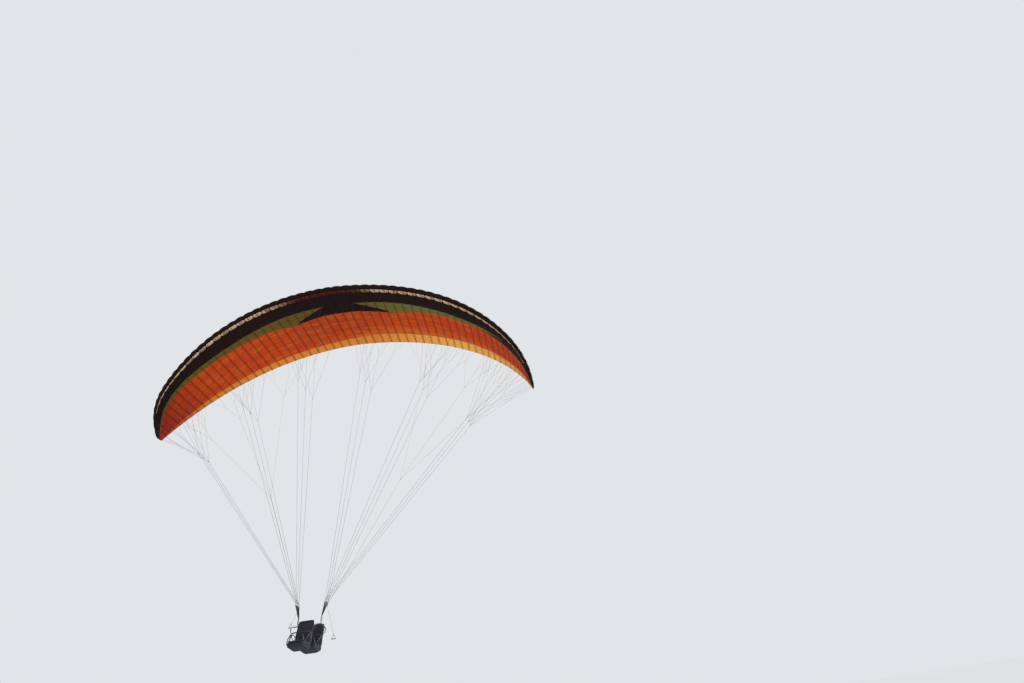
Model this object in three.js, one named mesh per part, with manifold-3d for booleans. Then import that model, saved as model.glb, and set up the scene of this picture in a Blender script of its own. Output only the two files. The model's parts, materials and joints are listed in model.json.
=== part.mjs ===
// Two-seat paraglider. Millimetres, +Z up, the wing flies towards -Y.
// The origin is the middle of the canopy's root section, at 30% of its chord.
// The pilot faces -Y, so the pilot's left is +X.
// Fabric is drawn as sheets a few millimetres thick, webbing and lines as slim prisms.
import * as THREE from 'three';
import { mergeVertices } from 'three/addons/utils/BufferGeometryUtils.js';
import Module from 'manifold-3d';

// Canopy plan and arc
const HALF_SPAN = 7400; // measured flat, along the arc
const ROOT_CHORD = 2960;
const TIP_CHORD_SHARE = 0.29; // of the root chord
const TAPER_POWER = 2.8;
const TIP_SWEEP = 1790; // how far the tip's leading edge lies behind the root's
const SWEEP_POWER = 1.6;
const TIP_TILT = 1.3; // radians, slope of the arc at the tip
const TILT_POWER = 1.66;
const ORIGIN_SHARE = 0.3; // chord share at which the origin lies
const TIP_ROUNDING = 620; // cut off the tip's front corner
const ROUNDING_START = 0.8; // span share
const ROUNDING_POWER = 3;

// Canopy section
const THICKNESS = 0.17;
const CAMBER = 0.03;
const BELLY = 0.55; // share of the thickness curve that the lower side has
const EDGE_HEIGHT = 15; // at the trailing edge
const SKIN = 5;
const CLEARANCE = 0.3; // between pieces that touch

// Cells
const CELLS_A_SIDE = 28;
const RIB_EVERY = 5; // borders between ribs that are drawn whole
const CELL_NARROWING = 0.5; // cells grow narrower towards the tip
const BULGE_SHARE = 0.07; // how far a cell swells, as a share of its width
const LIP_FRONT = 0.028; // chord shares between which a cell is open
const LIP_REAR = 0.066;
const LAST_OPEN_CELL = 25;
const TIP_LIP_GAP = 0.03; // chord share between the skins at the tips

// Trailing-edge flaps
const HINGE_SHARE = 0.85;
const HINGE_EDGE = 0.005; // chord share within which the skins' edges are cut square
const FLAP_GAP = 0.6; // in front of a flap
const FLAP_ANGLE = (30 * Math.PI) / 180;
const FLAP_SIDE_GAP = 6;
const FLAP_TOP_CROWD = 0.5; // of what the trailing edge draws in, for the top of the front edge
const BRAKE_SHARE = 0.984; // chord share where the brake lines end

// Where the sections of the canopy are sewn together, in cells from the centre
const SECTIONS = [
  { name: 'centre', from: -5, to: 5, flaps: false },
  { name: 'left_inner', from: 5, to: 15, flaps: true },
  { name: 'left_outer', from: 15, to: 25, flaps: true },
  { name: 'left_tip', from: 25, to: 28, flaps: false },
  { name: 'right_inner', from: -15, to: -5, flaps: true },
  { name: 'right_outer', from: -25, to: -15, flaps: true },
  { name: 'right_tip', from: -28, to: -25, flaps: false },
];
const FLAP_CELLS = [
  { from: 5, to: 10 },
  { from: 10, to: 15 },
  { from: 15, to: 20 },
  { from: 20, to: 25 },
];

// Chord shares of the panel seams, front to back
const UPPER_SEAMS = [0, 0.02, 0.09, 0.25, 0.5, HINGE_SHARE];
const LOWER_SEAMS = [0.2, 0.5, HINGE_SHARE];
const FLAP_SEAM = 0.93;

// Hang point: the main carabiners
const HANG_Y = 700;
const HANG_Z = -9280;
const CARABINER_X = 270;
const CARABINER_RADIUS = 38;
const CARABINER_BAR = 6;
const RING_SIDES = 5;
const RING_STEPS = 12;

// Risers, from the carabiner up to each screw link
const RISER_LENGTH = 360;
const RISER_TOP_X = 345;
const STRAP_WIDTH = 25;
const STRAP_THICKNESS = 4;
const STRAP_TRIM = 0.5; // off each sloping end of a riser, to make it level
const TRIM_ROOM = 4000; // wider than anything that is trimmed
const RISERS = [
  { name: 'a', footY: -10, topY: -85 },
  { name: 'b', footY: 0, topY: 0 },
  { name: 'c', footY: 10, topY: 85 },
];

// Lines
const LINE_RADIUS = 2.2;
const LINE_END_GAP = 0.7; // above and below the middle of a pulley, where two lines meet
const KNOT_SIZE = 9;
const LINK = { width: 22, depth: 8, height: 34, inside: 4 }; // screw link on top of a riser
const FORK_SHARE = 0.68; // how far up a main line it forks
const LINE_ROWS = [
  { name: 'a', chordShare: 0.12 },
  { name: 'b', chordShare: 0.38 },
  { name: 'c', chordShare: 0.645 },
];
const LINE_GROUPS = [
  [1, 4, 7],
  [10, 13, 16],
  [19, 22, 25, 27],
];

// Brakes
const BRAKE_GROUPS = [
  [6, 9, 12],
  [14, 17, 19],
  [21, 24],
];
const BRAKE_FORK_SHARE = 0.7;
const BRAKE_KNOT_SHARE = 0.4;
const PULLEY_RADIUS = 13;
const PULLEY_BAR = 3.5;
const PULLEY_SHARE = 0.8; // how far up the rear riser
const HANDLE_WIDTH = 110;
const HANDLE_HEIGHT = 95;
const HANDLE_BAR = 16;
const HANDLE_CHEEK = 24; // beside the hole, at the grip
const HANDLE_NECK = 7; // beside the hole, at the top
const HANDLE_CROWN = 18; // above the hole
const CORD_IN_HANDLE = 6;
const HANDLES = [
  { side: 1, out: 290, down: 330 },
  { side: -1, out: 200, down: -20 },
];

// Spreader bars, measured from the carabiner
const SPREADER_RADIUS = 11;
const PASSENGER_HANG = { y: -330, z: -165 };
const PILOT_HANG = { y: 304, z: -150 };
const EYE_RADIUS = 15;
const EYE_BAR = 4;
const LINK_RADIUS = 16;
const LINK_BAR = 3.2;
const LUG = { width: 14, depth: 22, height: 26, up: 4, crown: 8, below: 14 }; // holds the bar at its bend
const BAR_IN_EYE = 6; // how far the tube ends outside the eye's middle

// Harnesses, measured from their own hang points
const SEAT_WIDTH = 380;
const SEAT_DROP = 300; // from the hang point to the seat pan
const SEAT_DEPTH = 370;
const PASSENGER_BACK_Y = 28; // puts each empty harness's weight under its hang point
const PILOT_BACK_Y = 12;
const BACK_HEIGHT = 470;
const BACK_LEAN = 0.24; // radians
const PAN_DROP = 12; // of the seat board under the back's foot
const PAD = 22;
const PAD_INSET = 20; // at each side
const SIDE_ROUND = 25; // width over which a shell's sides are drawn in
const SIDE_SCALE = 0.9; // of the profile, at a shell's sides
const BUCKLE = { out: 40, y: -30, z: -110, width: 12, depth: 36, height: 30 };
const CHEST = { y: -95, z: -105, buckleX: 90, width: 200, thickness: 6, height: 30 };
const FRONT_ANCHOR = { y: 60, z: -40 }; // from the seat's front edge and pan
const BACK_ANCHOR = { y: 60, z: 40 }; // from the back's foot
const HANG_LOOP = { width: 25, thickness: 6 };
const THIGH = { fromFront: 90, inner: 18, outer: 30, crestX: 95, rise: 120, width: 40, thickness: 8 };
const RESERVE_WIDTH = 280;

const COLOURS = {
  upper: 0x1c1a1a,
  lower: 0xd2491b,
  flap: 0xe8a052,
  line: 0x55575c,
  webbing: 0x17181b,
  metal: 0xa9adb2,
  seat: 0x1d1f24,
  pad: 0x2b2e35,
  handle: 0x22242a,
};

const wasm = await Module();
wasm.setup();

const vec = (x, y, z) => new THREE.Vector3(x, y, z);
const lerp = (a, b, part) => a.clone().lerp(b, part);

// A closed three.js geometry as a solid that can be joined and cut
function toSolid(geometry) {
  const bare = geometry.index ? geometry.toNonIndexed() : geometry.clone();
  bare.deleteAttribute('normal');
  bare.deleteAttribute('uv');
  const merged = mergeVertices(bare, 1e-4);
  return new wasm.Manifold(new wasm.Mesh({
    numProp: 3,
    vertProperties: new Float32Array(merged.attributes.position.array),
    triVerts: new Uint32Array(merged.index.array),
  }));
}

function toGeometry(solid) {
  const mesh = solid.getMesh();
  const geometry = new THREE.BufferGeometry();
  geometry.setAttribute('position', new THREE.BufferAttribute(new Float32Array(mesh.vertProperties), 3));
  geometry.setIndex([...mesh.triVerts]);
  return geometry;
}

function join(solids) {
  return solids.reduce((whole, solid) => whole.add(solid));
}

function material(colour, roughness = 0.8, metalness = 0) {
  return new THREE.MeshStandardMaterial({ color: colour, roughness, metalness });
}

const paraglider = new THREE.Group();

function place(name, geometry, finish, parent = paraglider) {
  const mesh = new THREE.Mesh(geometry, finish);
  mesh.name = name;
  parent.add(mesh);
  return mesh;
}

// Canopy shape

// Span share of a cell border counted from the centre; whole numbers are ribs
function spanShare(cell) {
  const grow = (k) => k - (CELL_NARROWING * k * (Math.abs(k) / CELLS_A_SIDE) ** 3) / 4;
  return grow(cell) / grow(CELLS_A_SIDE);
}

function tiltAt(share) {
  return TIP_TILT * Math.sign(share) * Math.abs(share) ** TILT_POWER;
}

// The arc is the sum of short steps, each turned by the local tilt
const ARC_STEPS = 400;
const arc = [{ x: 0, z: 0 }];
for (let i = 0; i < ARC_STEPS; i += 1) {
  const tilt = tiltAt((i + 0.5) / ARC_STEPS);
  const step = HALF_SPAN / ARC_STEPS;
  const last = arc[i];
  arc.push({ x: last.x + step * Math.cos(tilt), z: last.z - step * Math.sin(tilt) });
}

function arcPoint(share) {
  const steps = Math.min(Math.abs(share), 1) * ARC_STEPS;
  const i = Math.min(Math.floor(steps), ARC_STEPS - 1);
  const part = steps - i;
  const x = arc[i].x + (arc[i + 1].x - arc[i].x) * part;
  const z = arc[i].z + (arc[i + 1].z - arc[i].z) * part;
  return { x: Math.sign(share) * x, z };
}

// Everything that one section of the wing needs, at a cell number (halves are mid-cell)
function station(cell) {
  const share = spanShare(cell);
  const tilt = tiltAt(share);
  const { x, z } = arcPoint(share);
  const reach = Math.abs(share);
  const towardsTip = Math.max(0, (reach - ROUNDING_START) / (1 - ROUNDING_START));
  const rounding = TIP_ROUNDING * towardsTip ** ROUNDING_POWER;
  const chord = ROOT_CHORD * (1 - (1 - TIP_CHORD_SHARE) * reach ** TAPER_POWER) - rounding;
  const front = TIP_SWEEP * reach ** SWEEP_POWER - ORIGIN_SHARE * ROOT_CHORD + rounding;
  const inCell = Math.abs(cell - Math.round(cell));
  const width = Math.abs(spanShare(Math.ceil(cell + 0.01)) - spanShare(Math.floor(cell))) * HALF_SPAN;
  return {
    chord,
    nose: vec(x, front, z),
    up: vec(Math.sin(tilt), 0, Math.cos(tilt)),
    along: vec(Math.cos(tilt), 0, -Math.sin(tilt)),
    bulge: inCell * 2 * BULGE_SHARE * width,
  };
}

// Height of the skin over the chord line, in millimetres
function skinHeight(side, chordShare, chord) {
  const s = chordShare;
  const half = 5 * THICKNESS * (0.2969 * Math.sqrt(s) - 0.126 * s - 0.3516 * s ** 2
    + 0.2843 * s ** 3 - 0.1036 * s ** 4);
  const camber = 4 * CAMBER * s * (1 - s);
  const edge = (s * EDGE_HEIGHT) / 2;
  return side === 'upper' ? (camber + half) * chord + edge : (camber - BELLY * half) * chord - edge;
}

// Each point {side, s} of an outline, with its outward normal and its share of a cell's swell
function profilePoints(outline, chord) {
  const flat = outline.map(({ side, s }) => new THREE.Vector2(s * chord, skinHeight(side, s, chord)));
  return flat.map((point, i) => {
    const before = flat[Math.max(i - 1, 0)];
    const after = flat[Math.min(i + 1, flat.length - 1)];
    const run = after.clone().sub(before).normalize();
    const { side, s } = outline[i];
    const swell = Math.min(1, (1 - s) * 4);
    const normal = new THREE.Vector2(-run.y, run.x);
    if (Math.abs(s - HINGE_SHARE) < HINGE_EDGE) normal.set(0, side === 'upper' ? 1 : -1);
    return { point, normal, swell };
  });
}

// From the front lip, round the nose and over the top
function upperOutline(rear) {
  const seams = rear > HINGE_SHARE ? [...UPPER_SEAMS, rear] : UPPER_SEAMS;
  return [{ side: 'lower', s: LIP_FRONT }, ...seams.map((s) => ({ side: 'upper', s }))];
}

// From the rear edge forward to the rear lip, so that the outward side is on the same hand
function lowerOutline(front, rear) {
  const seams = rear > HINGE_SHARE ? [...LOWER_SEAMS, rear] : LOWER_SEAMS;
  return [front, ...seams].reverse().map((s) => ({ side: 'lower', s }));
}

// A point of the wing: depth is measured inwards from the skin's outer face
function wingPoint(at, profile, depth, shift = 0) {
  const reach = at.bulge * profile.swell - depth;
  const flat = profile.point.clone().addScaledVector(profile.normal, reach);
  return at.nose.clone()
    .addScaledVector(vec(0, 1, 0), flat.x)
    .addScaledVector(at.up, flat.y)
    .addScaledVector(at.along, shift);
}

// A closed body from rings of points, one ring for each station
function loft(rings) {
  const count = rings[0].length;
  const positions = [];
  rings.forEach((ring) => ring.forEach((p) => positions.push(p.x, p.y, p.z)));
  const faces = [];
  for (let r = 0; r < rings.length - 1; r += 1) {
    for (let i = 0; i < count; i += 1) {
      const j = (i + 1) % count;
      const a = r * count + i;
      const b = r * count + j;
      const c = a + count;
      const d = b + count;
      faces.push(a, c, b, b, c, d);
    }
  }
  const last = (rings.length - 1) * count;
  const cap = capFaces(rings[0]);
  cap.forEach(([a, b, c]) => faces.push(a, b, c));
  capFaces(rings[rings.length - 1]).forEach(([a, b, c]) => faces.push(last + a, last + c, last + b));
  const geometry = new THREE.BufferGeometry();
  geometry.setAttribute('position', new THREE.Float32BufferAttribute(positions, 3));
  geometry.setIndex(faces);
  return geometry;
}

// Triangles of a flat ring, found in the ring's own plane
function capFaces(ring) {
  const across = new THREE.Vector3();
  ring.forEach((p, i) => across.add(p.clone().cross(ring[(i + 1) % ring.length])));
  across.normalize();
  const e1 = ring[1].clone().sub(ring[0]);
  e1.addScaledVector(across, -e1.dot(across)).normalize();
  const e2 = across.clone().cross(e1);
  const flat = ring.map((p) => new THREE.Vector2(p.dot(e1), p.dot(e2)));
  return THREE.ShapeUtils.triangulateShape(flat, []);
}

function solidLoft(rings) {
  const solid = toSolid(loft(rings));
  return solid.volume() > 0 ? solid : toSolid(loft([...rings].reverse()));
}

// Cell numbers of the stations: each rib and each cell's middle
function stationCells(from, to) {
  const cells = [];
  for (let k = from; k < to; k += 1) {
    cells.push(k, k + 0.5);
  }
  cells.push(to);
  return cells;
}

// A skin between two depths below its outer face. Its sewn ends are drawn in by a hair.
function sheet(cells, outline, depth, top = 0) {
  const rings = cells.map((cell, i) => {
    const at = station(cell);
    let shift = 0;
    if (i === 0) shift = CLEARANCE / 2;
    if (i === cells.length - 1) shift = -CLEARANCE / 2;
    const points = profilePoints(outline, at.chord);
    const outer = points.map((p) => wingPoint(at, p, top, shift));
    const inner = points.map((p) => wingPoint(at, p, depth, shift));
    return [...outer, ...inner.reverse()];
  });
  return solidLoft(rings);
}

// One rib: a flat fabric wall across the section, on the inboard side of its cell border
function rib(cell, upper, lower) {
  const at = station(cell);
  const inward = cell > 0 ? -1 : 1;
  const ends = cell === 0 ? [-SKIN / 2, SKIN / 2] : [inward * (SKIN + 1), inward];
  const rings = ends.map((shift) => {
    const top = profilePoints(upper, at.chord).map((p) => wingPoint(at, p, SKIN + CLEARANCE, shift));
    const base = profilePoints(lower, at.chord).map((p) => wingPoint(at, p, SKIN / 2, shift));
    return [...top, ...base];
  });
  return solidLoft(rings);
}

// What the lines are cut off by, so that they end just below the fabric
const underside = [];

function canopySection({ name, from, to, flaps }) {
  const rear = flaps ? HINGE_SHARE : 1;
  const open = Math.max(Math.abs(from), Math.abs(to)) <= LAST_OPEN_CELL;
  const front = open ? LIP_REAR : LIP_FRONT + TIP_LIP_GAP;
  const upper = upperOutline(rear);
  const lower = lowerOutline(front, rear);
  const cells = stationCells(from, to);
  const upperSheet = sheet(cells, upper, SKIN);
  let lowerSheet = sheet(cells, lower, SKIN);
  underside.push(sheet(cells, lower, SKIN, -CLEARANCE));
  for (let k = from; k <= to; k += 1) {
    const ofInnerNeighbour = (k === from && from > 0) || (k === to && to < 0);
    const drawn = k % RIB_EVERY === 0 || Math.abs(k) === CELLS_A_SIDE;
    if (drawn && !ofInnerNeighbour) lowerSheet = lowerSheet.add(rib(k, upper, lower));
  }
  place(`${name}_upper_surface`, toGeometry(upperSheet), material(COLOURS.upper, 0.6));
  place(`${name}_lower_surface`, toGeometry(lowerSheet), material(COLOURS.lower, 0.6));
}

SECTIONS.forEach(canopySection);

// A trailing-edge flap: two skins that meet at the edge, open towards the cells.
// Its sides slope in towards the edge, because pulled flaps crowd together.
function flap(name, from, to) {
  const cells = stationCells(from, to);
  const lowerSkin = [1, FLAP_SEAM, HINGE_SHARE].map((s) => ({ side: 'lower', s }));
  underside.push(sheet(cells, lowerSkin, SKIN, -CLEARANCE));
  const rings = cells.map((cell) => {
    const at = station(cell);
    const shares = [HINGE_SHARE + FLAP_GAP / at.chord, FLAP_SEAM, 1];
    const top = shares.map((s) => ({ side: 'upper', s }));
    const base = shares.map((s) => ({ side: 'lower', s })).reverse();
    const points = profilePoints([...top, ...base], at.chord);
    points[2].normal.set(0, 1);
    points[3].normal.set(0, -1);
    const outside = points.map((p) => wingPoint(at, p, 0));
    const inside = [5, 4, 1, 0].map((j) => wingPoint(at, points[j], SKIN));
    return [...outside, ...inside];
  });
  const turn = Math.abs(tiltAt(spanShare(to)) - tiltAt(spanShare(from)));
  const drawnIn = (i, next) => {
    const flapChord = (1 - HINGE_SHARE) * station(cells.at(i)).chord;
    const crowd = flapChord * Math.sin(FLAP_ANGLE) * Math.sin(turn) + FLAP_SIDE_GAP;
    const seam = (FLAP_SEAM - HINGE_SHARE) / (1 - HINGE_SHARE);
    const top = FLAP_TOP_CROWD;
    const aft = [top, seam, 1, 1, seam, 0, 0, seam, seam, top];
    return rings.at(i).map((p, j) => {
      const away = FLAP_SIDE_GAP + crowd * aft[j];
      return lerp(p, rings.at(next)[j], away / p.distanceTo(rings.at(next)[j]));
    });
  };
  const body = [drawnIn(0, 1), ...rings.slice(1, -1), drawnIn(-1, -2)];
  place(name, toGeometry(solidLoft(body)), material(COLOURS.flap, 0.6));
}

FLAP_CELLS.forEach(({ from, to }, i) => {
  flap(`left_flap_${i + 1}`, from, to);
  flap(`right_flap_${i + 1}`, -to, -from);
});

// Slim pieces

// A straight prism from one point to another
function rod(a, b, radius, sides = 3) {
  const run = b.clone().sub(a);
  const geometry = new THREE.CylinderGeometry(radius, radius, run.length(), sides);
  geometry.applyQuaternion(new THREE.Quaternion().setFromUnitVectors(vec(0, 1, 0), run.clone().normalize()));
  geometry.translate((a.x + b.x) / 2, (a.y + b.y) / 2, (a.z + b.z) / 2);
  return toSolid(geometry);
}

// A flat strap from one point to another, its wide side along the given direction
function strap(a, b, wide, width = STRAP_WIDTH, thickness = STRAP_THICKNESS) {
  const run = b.clone().sub(a);
  const z = run.clone().normalize();
  const x = wide.clone().addScaledVector(z, -wide.dot(z)).normalize();
  const y = z.clone().cross(x);
  const geometry = new THREE.BoxGeometry(width, thickness, run.length());
  geometry.applyMatrix4(new THREE.Matrix4().makeBasis(x, y, z));
  geometry.translate((a.x + b.x) / 2, (a.y + b.y) / 2, (a.z + b.z) / 2);
  return toSolid(geometry);
}

function block(centre, width, depth, height) {
  const geometry = new THREE.BoxGeometry(width, depth, height);
  geometry.translate(centre.x, centre.y, centre.z);
  return toSolid(geometry);
}

// A ring that stands upright: across Y when turned, otherwise across X
function ring(centre, radius, bar, turned, stretch = 1) {
  const geometry = new THREE.TorusGeometry(radius, bar, RING_SIDES, RING_STEPS);
  geometry.scale(1, stretch, 1);
  geometry.rotateX(Math.PI / 2);
  if (turned) geometry.rotateZ(Math.PI / 2);
  geometry.translate(centre.x, centre.y, centre.z);
  return toSolid(geometry);
}

const hang = new THREE.Group();
hang.position.set(0, HANG_Y, HANG_Z);
paraglider.add(hang);

// Line fans: from a screw link up through one fork to the ribs

// A point inside the lower skin, which is straight between its seams
function inLowerSkin(cell, chordShare) {
  const at = station(cell);
  const seams = [LIP_REAR, ...LOWER_SEAMS, FLAP_SEAM, 1];
  const i = seams.findIndex((s) => s > chordShare);
  const [low, high] = [seams[i - 1], seams[i]];
  const part = (chordShare - low) / (high - low);
  const [a, b] = [low, high].map((s) => skinHeight('lower', s, at.chord));
  const height = a + (b - a) * part;
  return at.nose.clone()
    .addScaledVector(vec(0, 1, 0), chordShare * at.chord)
    .addScaledVector(at.up, height + SKIN / 2);
}

function fan(foot, groups, forkShare, endPoint) {
  const pieces = [];
  groups.forEach((cells) => {
    const ends = cells.map(endPoint);
    const middle = ends.reduce((sum, p) => sum.add(p), vec(0, 0, 0)).divideScalar(ends.length);
    const fork = lerp(foot, middle, forkShare);
    pieces.push(rod(foot, fork, LINE_RADIUS));
    pieces.push(block(fork, KNOT_SIZE, KNOT_SIZE, KNOT_SIZE));
    ends.forEach((end) => pieces.push(rod(fork, end, LINE_RADIUS)));
  });
  return pieces;
}

const fabric = join(underside);

function riserTop(side, riser) {
  return vec(side * RISER_TOP_X, HANG_Y + riser.topY, HANG_Z + RISER_LENGTH);
}

for (const side of [1, -1]) {
  const word = side > 0 ? 'left' : 'right';
  RISERS.forEach((riser, i) => {
    const top = riserTop(side, riser);
    const row = LINE_ROWS[i];
    const linkBase = top.z + CLEARANCE;
    const link = block(vec(top.x, top.y, linkBase + LINK.height / 2), LINK.width, LINK.depth, LINK.height);
    const foot = vec(top.x, top.y, linkBase + LINK.height - LINK.inside);
    const lines = fan(foot, LINE_GROUPS, FORK_SHARE, (cell) => inLowerSkin(side * cell, row.chordShare));
    const cut = join([link, ...lines]).subtract(fabric);
    place(`${word}_${row.name}_lines`, toGeometry(cut), material(COLOURS.line, 0.7));
    const low = vec(side * CARABINER_X, riser.footY, CARABINER_RADIUS + CARABINER_BAR + CLEARANCE);
    const high = vec(top.x, riser.topY, RISER_LENGTH);
    const web = strap(low, high, vec(1, 0, 0));
    const level = high.z - low.z - 2 * STRAP_TRIM;
    const trim = block(vec(0, 0, (low.z + high.z) / 2), TRIM_ROOM, TRIM_ROOM, level);
    place(`${word}_riser_${riser.name}`, toGeometry(web.intersect(trim)), material(COLOURS.webbing), hang);
  });
  place(`${word}_main_carabiner`, toGeometry(ring(vec(side * CARABINER_X, 0, 0),
    CARABINER_RADIUS, CARABINER_BAR, true)), material(COLOURS.metal, 0.35, 1), hang);
}

// Brakes: a pulley on the rear riser, the line fan above it and the handle below it
HANDLES.forEach(({ side, out, down }) => {
  const word = side > 0 ? 'left' : 'right';
  const riser = RISERS[2];
  const riserFoot = vec(side * CARABINER_X, riser.footY, CARABINER_RADIUS);
  const riserHead = vec(side * RISER_TOP_X, riser.topY, RISER_LENGTH);
  const onRiser = lerp(riserFoot, riserHead, PULLEY_SHARE);
  const offset = STRAP_THICKNESS / 2 + PULLEY_RADIUS + PULLEY_BAR + 2 * CLEARANCE;
  const eye = onRiser.clone().add(vec(0, offset, 0));
  const flatRing = new THREE.TorusGeometry(PULLEY_RADIUS, PULLEY_BAR, RING_SIDES, RING_STEPS);
  flatRing.translate(eye.x, eye.y, eye.z);
  place(`${word}_brake_pulley`, toGeometry(toSolid(flatRing)), material(COLOURS.metal, 0.3, 1), hang);

  const base = eye.clone().add(hang.position);
  const ends = BRAKE_GROUPS.map((cells) => cells.map((cell) => inLowerSkin(side * cell, BRAKE_SHARE)));
  const all = ends.flat();
  const middle = all.reduce((sum, p) => sum.add(p), vec(0, 0, 0)).divideScalar(all.length);
  const knot = lerp(base, middle, BRAKE_KNOT_SHARE);
  const pieces = [rod(base.clone().add(vec(0, 0, LINE_END_GAP)), knot, LINE_RADIUS)];
  pieces.push(block(knot, KNOT_SIZE, KNOT_SIZE, KNOT_SIZE));
  ends.forEach((group) => {
    const centre = group.reduce((sum, p) => sum.add(p), vec(0, 0, 0)).divideScalar(group.length);
    const fork = lerp(knot, centre, BRAKE_FORK_SHARE);
    pieces.push(rod(knot, fork, LINE_RADIUS));
    pieces.push(block(fork, KNOT_SIZE, KNOT_SIZE, KNOT_SIZE));
    group.forEach((end) => pieces.push(rod(fork, end, LINE_RADIUS)));
  });
  place(`${word}_brake_lines`, toGeometry(join(pieces).subtract(fabric)), material(COLOURS.line, 0.7));

  const grip = vec(side * (CARABINER_X + out), eye.y, -down);
  const shape = new THREE.Shape();
  shape.moveTo(-HANDLE_WIDTH / 2, 0);
  shape.lineTo(HANDLE_WIDTH / 2, 0);
  shape.lineTo(HANDLE_WIDTH / 6, HANDLE_HEIGHT);
  shape.lineTo(-HANDLE_WIDTH / 6, HANDLE_HEIGHT);
  shape.closePath();
  const hole = new THREE.Path();
  hole.moveTo(-HANDLE_WIDTH / 2 + HANDLE_CHEEK, HANDLE_BAR);
  hole.lineTo(-HANDLE_WIDTH / 6 + HANDLE_NECK, HANDLE_HEIGHT - HANDLE_CROWN);
  hole.lineTo(HANDLE_WIDTH / 6 - HANDLE_NECK, HANDLE_HEIGHT - HANDLE_CROWN);
  hole.lineTo(HANDLE_WIDTH / 2 - HANDLE_CHEEK, HANDLE_BAR);
  hole.closePath();
  shape.holes.push(hole);
  const plate = new THREE.ExtrudeGeometry(shape, { depth: HANDLE_BAR, bevelEnabled: false });
  plate.translate(0, 0, -HANDLE_BAR / 2);
  plate.rotateX(Math.PI / 2);
  plate.translate(grip.x, grip.y, grip.z - HANDLE_HEIGHT);
  const inGrip = grip.clone().add(vec(0, 0, -CORD_IN_HANDLE));
  const cord = rod(inGrip, eye.clone().add(vec(0, 0, -LINE_END_GAP)), LINE_RADIUS);
  place(`${word}_brake_handle`, toGeometry(join([toSolid(plate), cord])), material(COLOURS.handle), hang);
});

// Spreader bars: a bent tube with an eye at each end, linked to the carabiner
const LINK_TOP = -CARABINER_RADIUS + CARABINER_BAR + CLEARANCE + LINK_BAR;

function linkBelow(x, y, top) {
  return ring(vec(x, y, top - LINK_RADIUS), LINK_RADIUS, LINK_BAR, false);
}

const LUG_Z = LINK_TOP - 2 * LINK_RADIUS - LUG.below;
for (const side of [1, -1]) {
  const word = side > 0 ? 'left' : 'right';
  const x = side * CARABINER_X;
  const crown = vec(x, 0, LUG_Z - LUG.crown);
  const lug = block(vec(x, 0, LUG_Z + LUG.up), LUG.width, LUG.depth, LUG.height);
  const pieces = [linkBelow(x, 0, LINK_TOP), lug];
  [PASSENGER_HANG, PILOT_HANG].forEach(({ y, z }) => {
    const end = vec(x, y - Math.sign(y) * BAR_IN_EYE, z + EYE_RADIUS + BAR_IN_EYE);
    pieces.push(rod(crown, end, SPREADER_RADIUS, 8));
    pieces.push(ring(vec(x, y, z), EYE_RADIUS, EYE_BAR, true));
  });
  place(`${word}_spreader_bar`, toGeometry(join(pieces)), material(COLOURS.metal, 0.4, 1), hang);
}

// Harnesses

// A side profile carried across the seat. With a middle, the sides are drawn in towards it.
function sideProfile(points, width, middle) {
  const half = width / 2;
  const square = [[-half, 1], [half, 1]];
  const drawn = [[-half, SIDE_SCALE], [SIDE_ROUND - half, 1], [half - SIDE_ROUND, 1], [half, SIDE_SCALE]];
  const [middleY, middleZ] = middle ?? [0, 0];
  const rings = (middle ? drawn : square).map(([x, scale]) => points.map(([y, z]) => (
    vec(x, middleY + (y - middleY) * scale, middleZ + (z - middleZ) * scale))));
  return solidLoft(rings);
}

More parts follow.
